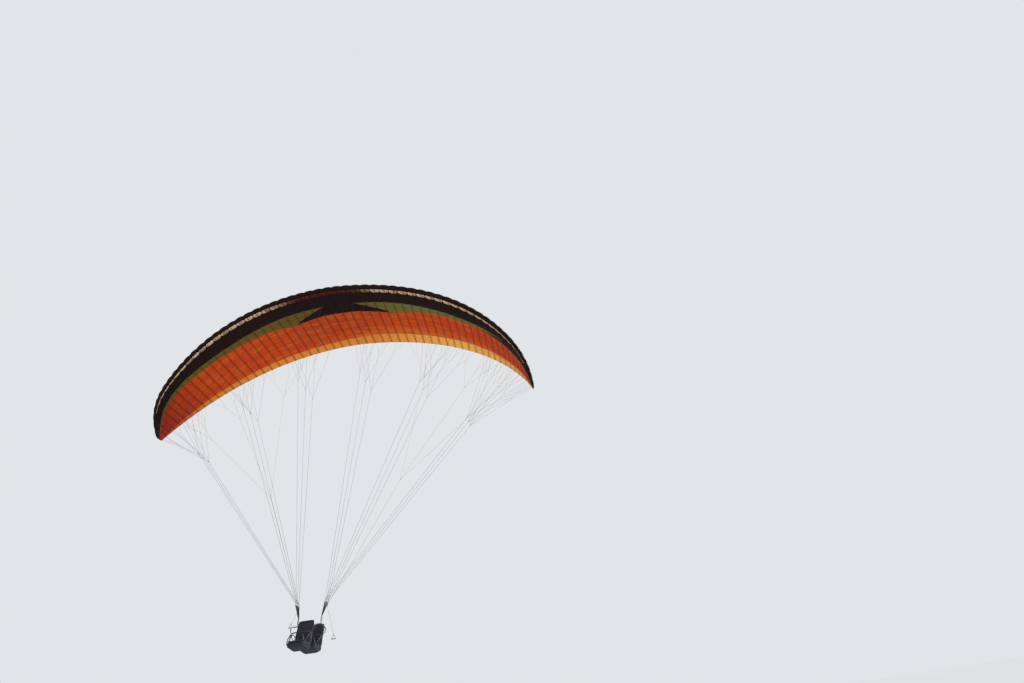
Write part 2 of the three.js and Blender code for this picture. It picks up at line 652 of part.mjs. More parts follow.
function harness(word, { y, z }, backFoot, reserve) {
  const seat = new THREE.Group();
  const linkTop = z - EYE_RADIUS + EYE_BAR + CLEARANCE + LINK_BAR;
  seat.position.set(0, y, linkTop);
  hang.add(seat);
  const lean = Math.tan(BACK_LEAN);
  const pan = -SEAT_DROP;
  const front = backFoot - SEAT_DEPTH;
  const backTop = pan + BACK_HEIGHT;
  const backTopY = backFoot + BACK_HEIGHT * lean;
  const rearFoot = [backFoot + 110, pan + 10];
  const rearTop = [backTopY + 62, backTop - 40];
  const rearSlope = (rearTop[0] - rearFoot[0]) / (rearTop[1] - rearFoot[1]);
  const shell = sideProfile([
    [front, pan - PAN_DROP],
    [front, pan - 60],
    [front + 60, pan - 105],
    [backFoot - 20, pan - 150],
    [backFoot + 95, pan - 120],
    rearFoot,
    rearTop,
    [backTopY + 30, backTop],
    [backTopY, backTop],
    [backFoot, pan],
    [backFoot - 30, pan - PAN_DROP],
  ], SEAT_WIDTH, [backFoot + 40, pan - 40]);
  place(`${word}_seat_shell`, toGeometry(shell), material(COLOURS.seat), seat);
  const padBack = backTop - 50;
  const pad = sideProfile([
    [front + 8, pan - PAN_DROP + CLEARANCE],
    [backFoot - 30, pan - PAN_DROP + CLEARANCE],
    [backFoot - CLEARANCE, pan + CLEARANCE],
    [backFoot - CLEARANCE + (padBack - pan) * lean, padBack],
    [backFoot - PAD + (padBack - pan) * lean, padBack],
    [backFoot - PAD - 12, pan + 24],
    [backFoot - 50, pan - PAN_DROP + PAD],
    [front + 8, pan - PAN_DROP + PAD],
  ], SEAT_WIDTH - 2 * PAD_INSET);
  place(`${word}_seat_pad`, toGeometry(pad), material(COLOURS.pad), seat);

  // Webbing: the hang straps of both sides, tied by the chest strap
  const pieces = [];
  const chest = vec(0, CHEST.y, CHEST.z);
  for (const side of [1, -1]) {
    const x = side * CARABINER_X;
    const edge = side * (SEAT_WIDTH / 2);
    const loopTop = vec(x, 0, -2 * LINK_RADIUS + 5);
    const loopLow = vec(x, 0, -2 * LINK_RADIUS - 6);
    const buckle = vec(side * (SEAT_WIDTH / 2 + BUCKLE.out), BUCKLE.y, BUCKLE.z);
    const onPan = vec(edge, front + FRONT_ANCHOR.y, pan + FRONT_ANCHOR.z);
    const onBack = vec(edge, backFoot + BACK_ANCHOR.y, pan + BACK_ANCHOR.z);
    pieces.push(linkBelow(x, 0, 0));
    pieces.push(strap(loopTop, loopLow, vec(0, 1, 0), HANG_LOOP.width, HANG_LOOP.thickness));
    pieces.push(strap(vec(x, 0, -2 * LINK_RADIUS), buckle, vec(0, 1, 0)));
    pieces.push(block(buckle, BUCKLE.width, BUCKLE.depth, BUCKLE.height));
    pieces.push(strap(buckle, onPan, vec(0, 1, 0)));
    pieces.push(strap(buckle, onBack, vec(0, 1, 0)));
    pieces.push(strap(buckle, vec(side * CHEST.buckleX, chest.y, chest.z), vec(0, 0, 1)));
  }
  pieces.push(block(chest, CHEST.width, CHEST.thickness, CHEST.height));
  const room = block(vec(0, 0, pan - 20), SEAT_WIDTH + 2 * CLEARANCE, TRIM_ROOM, 300);
  place(`${word}_webbing`, toGeometry(join(pieces).subtract(room)), material(COLOURS.webbing), seat);

  // Leg straps: one arch over each thigh, tied by a strap along the seat
  const legPieces = [];
  const legTop = pan - PAN_DROP + PAD + CLEARANCE;
  const legY = front + THIGH.fromFront;
  for (const side of [1, -1]) {
    const inner = vec(side * THIGH.inner, legY, legTop + 6);
    const outer = vec(side * (SEAT_WIDTH / 2 - THIGH.outer), legY, legTop + 6);
    const crest = vec(side * THIGH.crestX, legY, legTop + THIGH.rise);
    legPieces.push(strap(inner, lerp(inner, crest, 1.03), vec(0, 1, 0), THIGH.width));
    legPieces.push(strap(lerp(crest, outer, -0.03), outer, vec(0, 1, 0), THIGH.width));
  }
  const under = vec(0, legY, legTop + THIGH.thickness / 2);
  legPieces.push(block(under, SEAT_WIDTH - 50, THIGH.width, THIGH.thickness));
  place(`${word}_leg_straps`, toGeometry(join(legPieces)), material(COLOURS.webbing), seat);

  if (reserve) {
    const onBack = (up) => [rearFoot[0] + (up - 10) * rearSlope + 2 * CLEARANCE, pan + up];
    const box = sideProfile([
      onBack(30),
      [backFoot + 190, pan + 50],
      [backFoot + 215, pan + 200],
      [backFoot + 200, pan + 260],
      onBack(260),
    ], RESERVE_WIDTH, [backFoot + 150, pan + 150]);
    place(`${word}_reserve_container`, toGeometry(box), material(COLOURS.seat), seat);
  }
}

harness('passenger', PASSENGER_HANG, PASSENGER_BACK_Y, false);
harness('pilot', PILOT_HANG, PILOT_BACK_Y, true);

export default paraglider;
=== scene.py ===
# %% [markdown]
# # A two-seat paraglider in flight
# The imported CAD model is the frame of this scene: every piece made here is placed in its
# coordinates, in metres, and most of them ride on one of its bodies. The wing flies towards -Y, +X is
# the pilot's left, and the origin is in the middle of the canopy's root section. We load
# the frame first and keep its joints.

# %% Frame
import json
import math

import bmesh
import bpy
import numpy as np
from mathutils import Matrix, Vector
from mathutils.bvhtree import BVHTree


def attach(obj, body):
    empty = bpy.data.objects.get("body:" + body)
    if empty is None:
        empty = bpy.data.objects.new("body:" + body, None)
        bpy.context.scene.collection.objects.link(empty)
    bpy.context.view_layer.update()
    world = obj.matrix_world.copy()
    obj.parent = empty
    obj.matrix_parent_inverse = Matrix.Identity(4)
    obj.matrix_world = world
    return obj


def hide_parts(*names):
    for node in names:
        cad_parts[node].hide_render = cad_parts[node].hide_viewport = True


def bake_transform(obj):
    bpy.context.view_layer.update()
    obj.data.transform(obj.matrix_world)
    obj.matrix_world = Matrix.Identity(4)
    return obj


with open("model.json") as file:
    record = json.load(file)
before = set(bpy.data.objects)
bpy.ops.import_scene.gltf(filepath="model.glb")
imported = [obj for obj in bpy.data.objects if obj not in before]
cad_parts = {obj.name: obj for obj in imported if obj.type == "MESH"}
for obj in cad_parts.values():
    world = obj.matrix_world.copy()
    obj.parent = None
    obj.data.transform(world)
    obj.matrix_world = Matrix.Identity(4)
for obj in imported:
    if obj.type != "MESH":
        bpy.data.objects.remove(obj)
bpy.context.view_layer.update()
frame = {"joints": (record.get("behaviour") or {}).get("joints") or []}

# %% [markdown]
# ## Camera
# The camera stands low in front of the wing and looks up at its lower side. Its place,
# its three angles and its focal length come from fitting the CAD wing's outline to the
# photograph. A focal length in pixels times the sensor's width, divided by the image's
# width, gives the lens in millimetres.

# %% Camera
IMAGE_WIDTH = 1024
FOCAL_PIXELS = 488.4
CAMERA_PLACE = Vector((5.266, -11.780, -11.847))
YAW, PITCH, ROLL = (math.radians(angle) for angle in (1.45, 38.47, -8.67))

level = Vector((math.cos(YAW), -math.sin(YAW), 0))
forward = Vector((math.sin(YAW) * math.cos(PITCH), math.cos(YAW) * math.cos(PITCH), math.sin(PITCH)))
right = level * math.cos(ROLL) + level.cross(forward) * math.sin(ROLL)
camera_data = bpy.data.cameras.new("camera")
camera_data.sensor_width = 36.0
camera_data.lens = FOCAL_PIXELS / IMAGE_WIDTH * camera_data.sensor_width
camera = bpy.data.objects.new("camera", camera_data)
bpy.context.scene.collection.objects.link(camera)
turn = Matrix((right, right.cross(forward), -forward)).transposed().to_4x4()
camera.matrix_world = Matrix.Translation(CAMERA_PLACE) @ turn
bpy.context.scene.camera = camera
print("camera: lens", round(camera_data.lens, 2), "mm")

# %% [markdown]
# ## Building materials from nodes
# Each finish is made of nodes, so it needs no picture file and stays sharp at any
# distance. `node` adds one node and joins or sets its inputs. `Value` wraps a node's output,
# so that a formula in Python, such as `a * 0.5 + b`, adds the Math nodes that work it out.
# `group` starts a reusable node group with named sockets, and `use` places one. The last
# two helpers end a material: its colour, roughness and relief, and the light through it.

# %% Node helpers
def plug(tree, made, inputs):
    """Joins or sets inputs, each given by its name or number."""
    for socket, value in inputs.items():
        value = getattr(value, "socket", value)
        if isinstance(value, bpy.types.NodeSocket):
            tree.links.new(value, made.inputs[socket])
        else:
            made.inputs[socket].default_value = value
    return made


def node(tree, kind, inputs=None, **settings):
    made = tree.nodes.new(kind)
    for name, value in settings.items():
        setattr(made, name, value)
    return plug(tree, made, inputs or {})


def maths(operation, *values):
    """One Math node, in the tree that its values come from."""
    tree = next(value.socket.id_data for value in values if isinstance(value, Value))
    made = node(tree, "ShaderNodeMath", dict(enumerate(values)), operation=operation)
    return Value(made.outputs[0])


class Value:
    """A number inside a material."""

    def __init__(self, socket):
        self.socket = socket

    def __add__(self, other):
        return maths("ADD", self, other)

    def __sub__(self, other):
        return maths("SUBTRACT", self, other)

    def __rsub__(self, other):
        return maths("SUBTRACT", other, self)

    def __mul__(self, other):
        return maths("MULTIPLY", self, other)

    def __truediv__(self, other):
        return maths("DIVIDE", self, other)

    def __rtruediv__(self, other):
        return maths("DIVIDE", other, self)

    def __pow__(self, other):
        return maths("POWER", self, other)

    def __abs__(self):
        return maths("ABSOLUTE", self)

    def clamped(self):
        """Keeps the last step's result between 0 and 1."""
        self.socket.node.use_clamp = True
        return self


def largest(first, *others):
    for other in others:
        first = maths("MAXIMUM", first, other)
    return first


def wave(value, pitch):
    return maths("SINE", value * (2 * math.pi / pitch))


def ramp(value, low, high, start=0.0, end=1.0, kind="SMOOTHSTEP"):
    """start where value is low, end where it is high, and a gradual change between."""
    made = node(value.socket.id_data, "ShaderNodeMapRange", {0: value, 1: low, 2: high, 3: start, 4: end},
                interpolation_type=kind)
    return Value(made.outputs[0])


def group(name, inputs, outputs):
    """A node group. inputs are (name, kind, value); outputs are names of numbers. It comes with one
    function that gives an input by its name, and one that joins the results."""
    tree = bpy.data.node_groups.new(name, "ShaderNodeTree")
    for label, kind, value in inputs:
        socket = tree.interface.new_socket(label, in_out="INPUT", socket_type="NodeSocket" + kind)
        socket.default_value = value
    for label in outputs:
        tree.interface.new_socket(label, in_out="OUTPUT", socket_type="NodeSocketFloat")
    came = tree.nodes.new("NodeGroupInput")
    went = tree.nodes.new("NodeGroupOutput")
    return tree, lambda label: Value(came.outputs[label]), lambda **results: plug(tree, went, results)


def use(tree, shared, inputs):
    """Places a group. The result gives each of its outputs by name."""
    made = node(tree, "ShaderNodeGroup", inputs, node_tree=shared)
    return lambda label: Value(made.outputs[label])


def split(tree, vector):
    return [Value(part) for part in node(tree, "ShaderNodeSeparateXYZ", {0: vector}).outputs]


def map_parts(tree, name):
    return split(tree, node(tree, "ShaderNodeUVMap", uv_map=name).outputs[0])


def noise(tree, place, scale, **inputs):
    made = node(tree, "ShaderNodeTexNoise", {"Vector": place, "Scale": scale, **inputs})
    return Value(made.outputs["Fac"])


def mixed(tree, share, a, b):
    """Colour a where share is 0 and b where it is 1."""
    return node(tree, "ShaderNodeMix", {0: share, 6: a, 7: b}, data_type="RGBA").outputs[2]


def new_material(name):
    material = bpy.data.materials.new(name)
    material.use_nodes = True
    tree = material.node_tree
    return material, tree, tree.nodes["Principled BSDF"]


def finish_with(tree, shader, colour, rough, height, strength, distance, more=None):
    """Colour, roughness and relief. more holds further inputs of the shader."""
    relief = {"Height": height, "Strength": strength, "Distance": distance}
    bump = node(tree, "ShaderNodeBump", relief).outputs[0]
    plug(tree, shader, {"Base Color": colour, "Roughness": rough, "Normal": bump, **(more or {})})
    return bump


def lit_through(tree, shader, tone, share, more=None):
    """Thin cloth, which this share of the light on its far side comes through."""
    through = node(tree, "ShaderNodeBsdfTranslucent", {"Color": tone, **(more or {})})
    both = node(tree, "ShaderNodeMixShader", {0: share, 1: shader.outputs[0], 2: through.outputs[0]})
    plug(tree, tree.nodes["Material Output"], {"Surface": both.outputs[0]})


print("node helpers ready")

# %% [markdown]
# ## Light and floor
# Ripstop cloth is thin, so a wing that is lit from behind glows. A broad soft light
# stands high behind the wing for that glow, and an even pale surround fills the shadows.
# A second soft light stands for the light that bright ground throws up, and the floor
# lets it through. The floor is plain and lies just under the camera, which stands on it.
# Its grey is chosen so that, in this light, it comes out as pale as the surround.

# %% Light and floor
FLOOR_Z, FLOOR_REACH = -12.0, 150.0
PALE = (0.80, 0.82, 0.84, 1.0)
FLOOR_TONES = (0.375, 0.39, 0.405, 1), (0.40, 0.415, 0.43, 1)


def sun(name, strength, angle, direction, colour=(1, 1, 1)):
    lamp = bpy.data.lights.new(name, "SUN")
    lamp.energy = strength
    lamp.angle = math.radians(angle)
    lamp.color = colour
    holder = bpy.data.objects.new(name, lamp)
    holder.rotation_mode = "QUATERNION"
    holder.rotation_quaternion = Vector(direction).to_track_quat("-Z", "Y")
    bpy.context.scene.collection.objects.link(holder)


sun("soft_back_light", strength=5.0, angle=18, direction=(-0.42, -0.55, -0.72), colour=(1.0, 0.97, 0.92))
sun("soft_low_light", strength=2.4, angle=50, direction=(-0.15, 0.60, 0.65))

world = bpy.data.worlds.new("pale_surround")
bpy.context.scene.world = world
world.use_nodes = True
plug(world.node_tree, world.node_tree.nodes["Background"], {"Color": PALE, "Strength": 0.95})

floor_mesh = bpy.data.meshes.new("floor")
floor_mesh.from_pydata(
    [(x * FLOOR_REACH, y * FLOOR_REACH, FLOOR_Z) for x, y in ((-1, -1), (1, -1), (1, 1), (-1, 1))],
    [], [(0, 1, 2, 3)])
floor_finish, floor_tree, floor_shader = new_material("floor_finish")
cloudy = node(floor_tree, "ShaderNodeTexNoise", {"Scale": 60.0}).outputs["Fac"]
plug(floor_tree, floor_shader, {"Base Color": mixed(floor_tree, cloudy, *FLOOR_TONES), "Roughness": 0.9,
                                "Specular IOR Level": 0.0})
floor_mesh.materials.append(floor_finish)
floor = bpy.data.objects.new("floor", floor_mesh)
bpy.context.scene.collection.objects.link(floor)
floor.visible_shadow = False
bpy.context.scene.view_settings.view_transform = "Standard"
print("lights: 2 suns, floor at", FLOOR_Z)

# %% [markdown]
# ## The wing's shape
# A paraglider's wing is an arc of cells. Its size comes from a few numbers that the CAD
# source uses too: the flat half span, the root chord, how the chord shrinks, how far the
# tip is swept back and how steeply the arc hangs at the tip. `span_share` turns a cell
# number into a share of the half span, and `section` gives a cell border's place, chord
# and two directions. The same formulas in both files make the cloth fit the solids.

# %% Wing formulas
HALF_SPAN, ROOT_CHORD, TIP_CHORD_SHARE, TAPER_POWER = 7.4, 2.96, 0.29, 2.8
TIP_SWEEP, SWEEP_POWER, TIP_TILT, TILT_POWER, ORIGIN_SHARE = 1.79, 1.6, 1.3, 1.66, 0.3
TIP_ROUNDING, ROUNDING_START = 0.620, 0.8
THICKNESS, CAMBER, BELLY, EDGE_HEIGHT, EDGE_PINCH, PINCH_START = 0.17, 0.03, 0.55, 0.015, 0.4, 0.94
NOSE_TERM, THICKNESS_TERMS = 0.2969, (-0.126, -0.3516, 0.2843, -0.1036)
CELLS_A_SIDE, CELL_NARROWING, BULGE_SHARE = 28, 0.5, 0.07
SIDES = ((1, "left"), (-1, "right"))

ARC_STEPS = 2000
arc_middles = (np.arange(ARC_STEPS) + 0.5) / ARC_STEPS
arc_tilt = TIP_TILT * arc_middles**TILT_POWER
arc_step = HALF_SPAN / ARC_STEPS
ARC_GRID = np.linspace(0, 1, ARC_STEPS + 1)
ARC_X = np.concatenate([[0], np.cumsum(np.cos(arc_tilt))]) * arc_step
ARC_Z = -np.concatenate([[0], np.cumsum(np.sin(arc_tilt))]) * arc_step


def span_share(cell):
    def grown(k):
        return k - CELL_NARROWING * k * (np.abs(k) / CELLS_A_SIDE) ** 3 / 4
    return grown(np.asarray(cell, float)) / grown(float(CELLS_A_SIDE))


def section(cell):
    """Nose place, chord, up, along and cell width for each cell number in an array."""
    share = span_share(cell)
    reach = np.abs(share)
    tilt = TIP_TILT * np.sign(share) * reach**TILT_POWER
    chord = ROOT_CHORD * (1 - (1 - TIP_CHORD_SHARE) * reach**TAPER_POWER)
    rounding = TIP_ROUNDING * (np.maximum(0, reach - ROUNDING_START) / (1 - ROUNDING_START))**3
    chord = chord - rounding
    front = TIP_SWEEP * reach**SWEEP_POWER - ORIGIN_SHARE * ROOT_CHORD + rounding
    nose = np.stack([np.sign(share) * np.interp(reach, ARC_GRID, ARC_X), front,
                     np.interp(reach, ARC_GRID, ARC_Z)], -1)
    zero = np.zeros_like(tilt)
    up = np.stack([np.sin(tilt), zero, np.cos(tilt)], -1)
    along = np.stack([np.cos(tilt), zero, -np.sin(tilt)], -1)
    inner = np.floor(np.asarray(cell, float) + 1e-9)
    width = np.abs(span_share(np.minimum(inner + 1, CELLS_A_SIDE)) - span_share(inner)) * HALF_SPAN
    return nose, chord, up, along, width


def profile(q, chord):
    """The section's outline. q runs from -1 at the lower trailing edge through 0 at the
    nose to +1 at the upper trailing edge, and q squared is the share of the chord."""
    s = q**2
    terms = sum(term * s**power for power, term in enumerate(THICKNESS_TERMS, 1))
    half = 5 * THICKNESS * (NOSE_TERM * np.abs(q) + terms)
    camber = 4 * CAMBER * s * (1 - s)
    edge = s * EDGE_HEIGHT / 2 * (1 - EDGE_PINCH * np.clip((s - PINCH_START) / (1 - PINCH_START), 0, 1))
    upper = (camber + half) * chord + edge
    lower = (camber - BELLY * half) * chord - edge
    return s * chord, np.where(q >= 0, upper, lower)


print("wing: span", round(2 * float(ARC_X[-1]), 2), "m across,", 2 * CELLS_A_SIDE, "cells")

# %% [markdown]
# ## Cloth between ribs
# Air pressure pushes each cell's cloth outwards between two ribs, so the wing is a row of
# pillows, with a crease at each rib and small puckers where the cloth is gathered into
# the seam. `cloth_points` starts from the plain outline, finds its outward normal and
# adds the pillow and the puckers along it. One function makes every panel, so panels
# that meet share the same points along their seam.

# %% Cloth between ribs
PUCKER_HEIGHT, PUCKERS_START, PUCKERS_END, LOWER_SHIFT = 0.0035, 0.05, 0.04, 0.4
PUCKER_WAVES = ((1.0, 41, 1.0, 1.2), (0.6, 67, -1.9, 0), (0.5, 19, 3.1, 0))  # height, pace, phase, lean
NOSE_SWELL, NOSE_REACH, EDGE_SWELL = 1.25, 0.03, 0.12


def pucker(cell, across, metres):
    """Small folds that run from each rib's seam into the cell."""
    near_rib = np.abs(2 * across - 1)
    which = np.floor(cell + 1e-9)
    phase = 2.4 * which + 1.7 * np.sin(5.1 * which)
    waves = sum(height * np.sin(metres * pace + phases * phase + lean * near_rib)
                for height, pace, phases, lean in PUCKER_WAVES)
    return waves * near_rib**1.5 * (1 - near_rib**6)


def cloth_points(cells, q, depth):
    """Points of the skin. cells has one number a column; q one row of numbers for each."""
    q = np.broadcast_to(q, (len(cells), np.shape(q)[-1]))
    nose, chord, up, _, width = section(cells)
    chord = chord[:, None]
    step = 1e-3
    y, z = profile(q, chord)
    y0, z0 = profile(q - step, chord)
    y1, z1 = profile(q + step, chord)
    run = np.stack([y1 - y0, z1 - z0], -1)
    run /= np.linalg.norm(run, axis=-1, keepdims=True)
    across = (cells - np.floor(cells + 1e-9))[:, None]
    share = q**2
    swell = BULGE_SHARE * width[:, None] * 4 * across * (1 - across)
    swell = swell * np.minimum(1, (1 - share) * 4 + EDGE_SWELL)
    swell = swell * (1 + (NOSE_SWELL - 1) * np.exp(-share / NOSE_REACH))
    folds = PUCKER_HEIGHT * pucker(cells[:, None], across, share * chord + LOWER_SHIFT * (q < 0))
    folds = folds * np.clip(share / PUCKERS_START, 0, 1) * np.clip((1 - share) / PUCKERS_END, 0, 1)
    away = swell + folds - depth
    y = y - run[..., 1] * away
    z = z + run[..., 0] * away
    return nose[:, None, :] + y[..., None] * (0, 1, 0) + z[..., None] * up[:, None, :]


def grid_faces(columns, rows, flip):
    i, j = np.meshgrid(np.arange(columns - 1), np.arange(rows - 1), indexing="ij")
    a = i * rows + j
    quads = np.stack([a, a + 1, a + rows + 1, a + rows], -1).reshape(-1, 4)
    return quads[:, ::-1] if flip else quads


print("one cell at the root is", round(float(section(np.array([0.5]))[4][0]), 3), "m wide")

# %% [markdown]
# ## Shared effects
# Four effects come back in several finishes. `thread_grid` is woven cloth: fine threads
# with a thicker pair every few millimetres. `rib_seam` marks the line where the cloth is
# sewn to a rib, and a broader painted shade in the crease beside it, both found from the
# cell number that each canopy point carries. The wear group gives the uneven tint and the
# soft creases of used cloth; on the canopy a stretched copy of it also paints streaks of
# light and shade and highlights along creases. `edge_line` draws one thin line at a given
# value, for a seam or a row of stitches.

# %% Shared effects
thread_grid, came, went = group(
    "thread_grid",
    [("Place", "Vector", (0, 0, 0)), ("Pitch", "Float", 0.001), ("Strong every", "Float", 6.0)], ["Height"])
scaled = node(thread_grid, "ShaderNodeVectorMath", {0: came("Place"), 3: 1.0 / came("Pitch")},
              operation="SCALE")
heights = []
for part in split(thread_grid, scaled.outputs[0])[:2]:
    off = abs(maths("FRACT", part / came("Strong every")) - 0.5)
    heights.append(wave(part, 1.0) * 0.3 + maths("GREATER_THAN", off, 0.44))
went(Height=largest(*heights))

rib_seam, came, went = group(
    "rib_seam", [("Cell", "Float", 0.0), ("Width", "Float", 0.03), ("Softness", "Float", 0.02)],
    ["Line", "Gather"])
off = 0.5 - abs(maths("FRACT", came("Cell")) - 0.5)
# Line is the seam; the second result is painted shade in the crease beside the rib.
went(Line=ramp(off, came("Width"), came("Width") + came("Softness"), 1.0, 0.0),
     Gather=ramp(off, 0.0, 0.3, 1.0, 0.0))

wear_and_painted_light, came, went = group(
    "wear_and_painted_light", [("Place", "Vector", (0, 0, 0)), ("Scale", "Float", 3.0), ("Stretch", "Vector", (1, 1, 1))],
    ["Tint", "Crease"])
stretched = node(wear_and_painted_light, "ShaderNodeVectorMath", {0: came("Place"), 1: came("Stretch")},
                 operation="MULTIPLY").outputs[0]
creased = noise(wear_and_painted_light, stretched, came("Scale") * 2.7, Detail=2.0, Distortion=1.2)
went(Tint=noise(wear_and_painted_light, stretched, came("Scale"), Detail=3.0, Roughness=0.6),
     Crease=1.0 - (abs(creased - 0.5) * 6.0).clamped())

edge_line, came, went = group(
    "edge_line", [("Value", "Float", 0.0), ("At", "Float", 0.5), ("Width", "Float", 0.01)], ["Line"])
off = abs(came("Value") - came("At"))
went(Line=ramp(off, came("Width") * 0.4, came("Width"), 1.0, 0.0, "LINEAR"))


def ripstop(tree, place):
    """The relief of the wing's cloth."""
    return use(tree, thread_grid, {"Place": place, "Pitch": 0.0009, "Strong every": 6.0})("Height")


def canopy_maps(tree):
    """Shares of the span and the chord, the cell number, and the place on the cloth in metres."""
    across, chord, _ = map_parts(tree, "wing")
    cell, behind_nose, _ = map_parts(tree, "cell")
    metres = node(tree, "ShaderNodeCombineXYZ", {0: across * HALF_SPAN, 1: behind_nose}).outputs[0]
    return across, chord, cell, metres


print("shared effects:", [made.name for made in (thread_grid, rib_seam, wear_and_painted_light, edge_line)])

# %% [markdown]
# ## The canopy's colours
# The wing is dark at the nose, orange red behind, and lighter along the trailing edge. On
# each side a pointed olive band lies between the dark and the orange. Every canopy point
# carries two maps: its share of the span and of the chord, and its cell number with its
# distance behind the nose. A curve node turns the span share into the chord share of each
# border, and comparing that with the point's own chord share gives the colour areas. The
# sun glows through the rear more strongly on one side, and that glow is painted into the
# colour as a golden share that starts further forward there and a paler trailing band, so
# those borders differ by side.

# %% Canopy colours
BLACK_CLOTH = (0.012, 0.004, 0.004, 1)
OLIVE_CLOTH = (0.125, 0.085, 0.012, 1)
GREEN_CLOTH = (0.150, 0.170, 0.045, 1)
ORANGE_CLOTH = (0.52, 0.055, 0.006, 1)
GOLD_CLOTH_AND_GLOW = (0.60, 0.16, 0.018, 1)
AMBER_CLOTH = (0.66, 0.31, 0.050, 1)
SUNLIT_PALE_AMBER = (0.76, 0.47, 0.12, 1)
DEEP_RED_CLOTH = (0.33, 0.012, 0.004, 1)
SEAM_SHADE = (0.085, 0.018, 0.006, 1)
BORDER_BLUR = 0.0025

# Borders as (span share, chord share). A table that starts at 0 holds for both sides
DARK_REAR = [(0, 0.235), (0.16, 0.226), (0.25, 0.229), (0.34, 0.238), (0.43, 0.252), (0.53, 0.262),
             (0.61, 0.257), (0.69, 0.243), (0.77, 0.220), (0.84, 0.222), (0.91, 0.255), (0.97, 0.36),
             (1, 0.50)]
OLIVE_REAR = [(-1, 0.47), (-0.97, 0.43), (-0.91, 0.330), (-0.84, 0.297), (-0.77, 0.300), (-0.69, 0.325),
              (-0.61, 0.342), (-0.53, 0.348), (-0.44, 0.352), (-0.38, 0.360), (-0.33, 0.372), (-0.28, 0.394),
              (-0.22, 0.418), (-0.20, 0.372), (-0.17, 0.338), (-0.12, 0.285), (-0.068, 0.233), (0, 0.16),
              (0.068, 0.233), (0.12, 0.285), (0.17, 0.338), (0.20, 0.372), (0.22, 0.418), (0.28, 0.390),
              (0.33, 0.364), (0.38, 0.350), (0.44, 0.341), (0.55, 0.328), (0.65, 0.305), (0.72, 0.268),
              (0.78, 0.228), (1, 0.10)]
ORANGE_FRONT = [(0, 0.380), (0.07, 0.374), (0.13, 0.386), (0.20, 0.408), (0.22, 0.418), (0.24, 0.30),
                (1, 0.30)]
AMBER_FRONT = [(-1, 0.93), (-0.75, 0.900), (-0.5, 0.892), (-0.1, 0.880), (0.05, 0.850), (0.12, 0.828),
               (0.45, 0.818), (0.65, 0.795), (0.9, 0.775), (1, 0.80)]
GLOW_FRONT = [(-1, 0.98), (-0.5, 0.86), (-0.1, 0.76), (0.05, 0.66), (0.12, 0.60), (0.40, 0.58), (0.65, 0.60),
              (0.8, 0.70), (1, 0.90)]


def border(tree, share, table):
    """The chord share that a border has at this share of the span."""
    if table[0][0] < 0:
        share = share * 0.5 + 0.5
        table = [(0.5 + at / 2, height) for at, height in table]
    made = node(tree, "ShaderNodeFloatCurve", {"Value": share})
    curve = made.mapping.curves[0]
    for point, (at, height) in zip(curve.points, (table[0], table[-1])):
        point.location = (at, height)
    for at, height in table[1:-1]:
        curve.points.new(at, height)
    for point in curve.points:
        point.handle_type = "VECTOR"
    made.mapping.update()
    return Value(made.outputs[0])


def behind(value, limit):
    """1 where value is past limit, with a hair of blur at the border."""
    return ramp(value, limit - BORDER_BLUR, limit + BORDER_BLUR, kind="LINEAR")


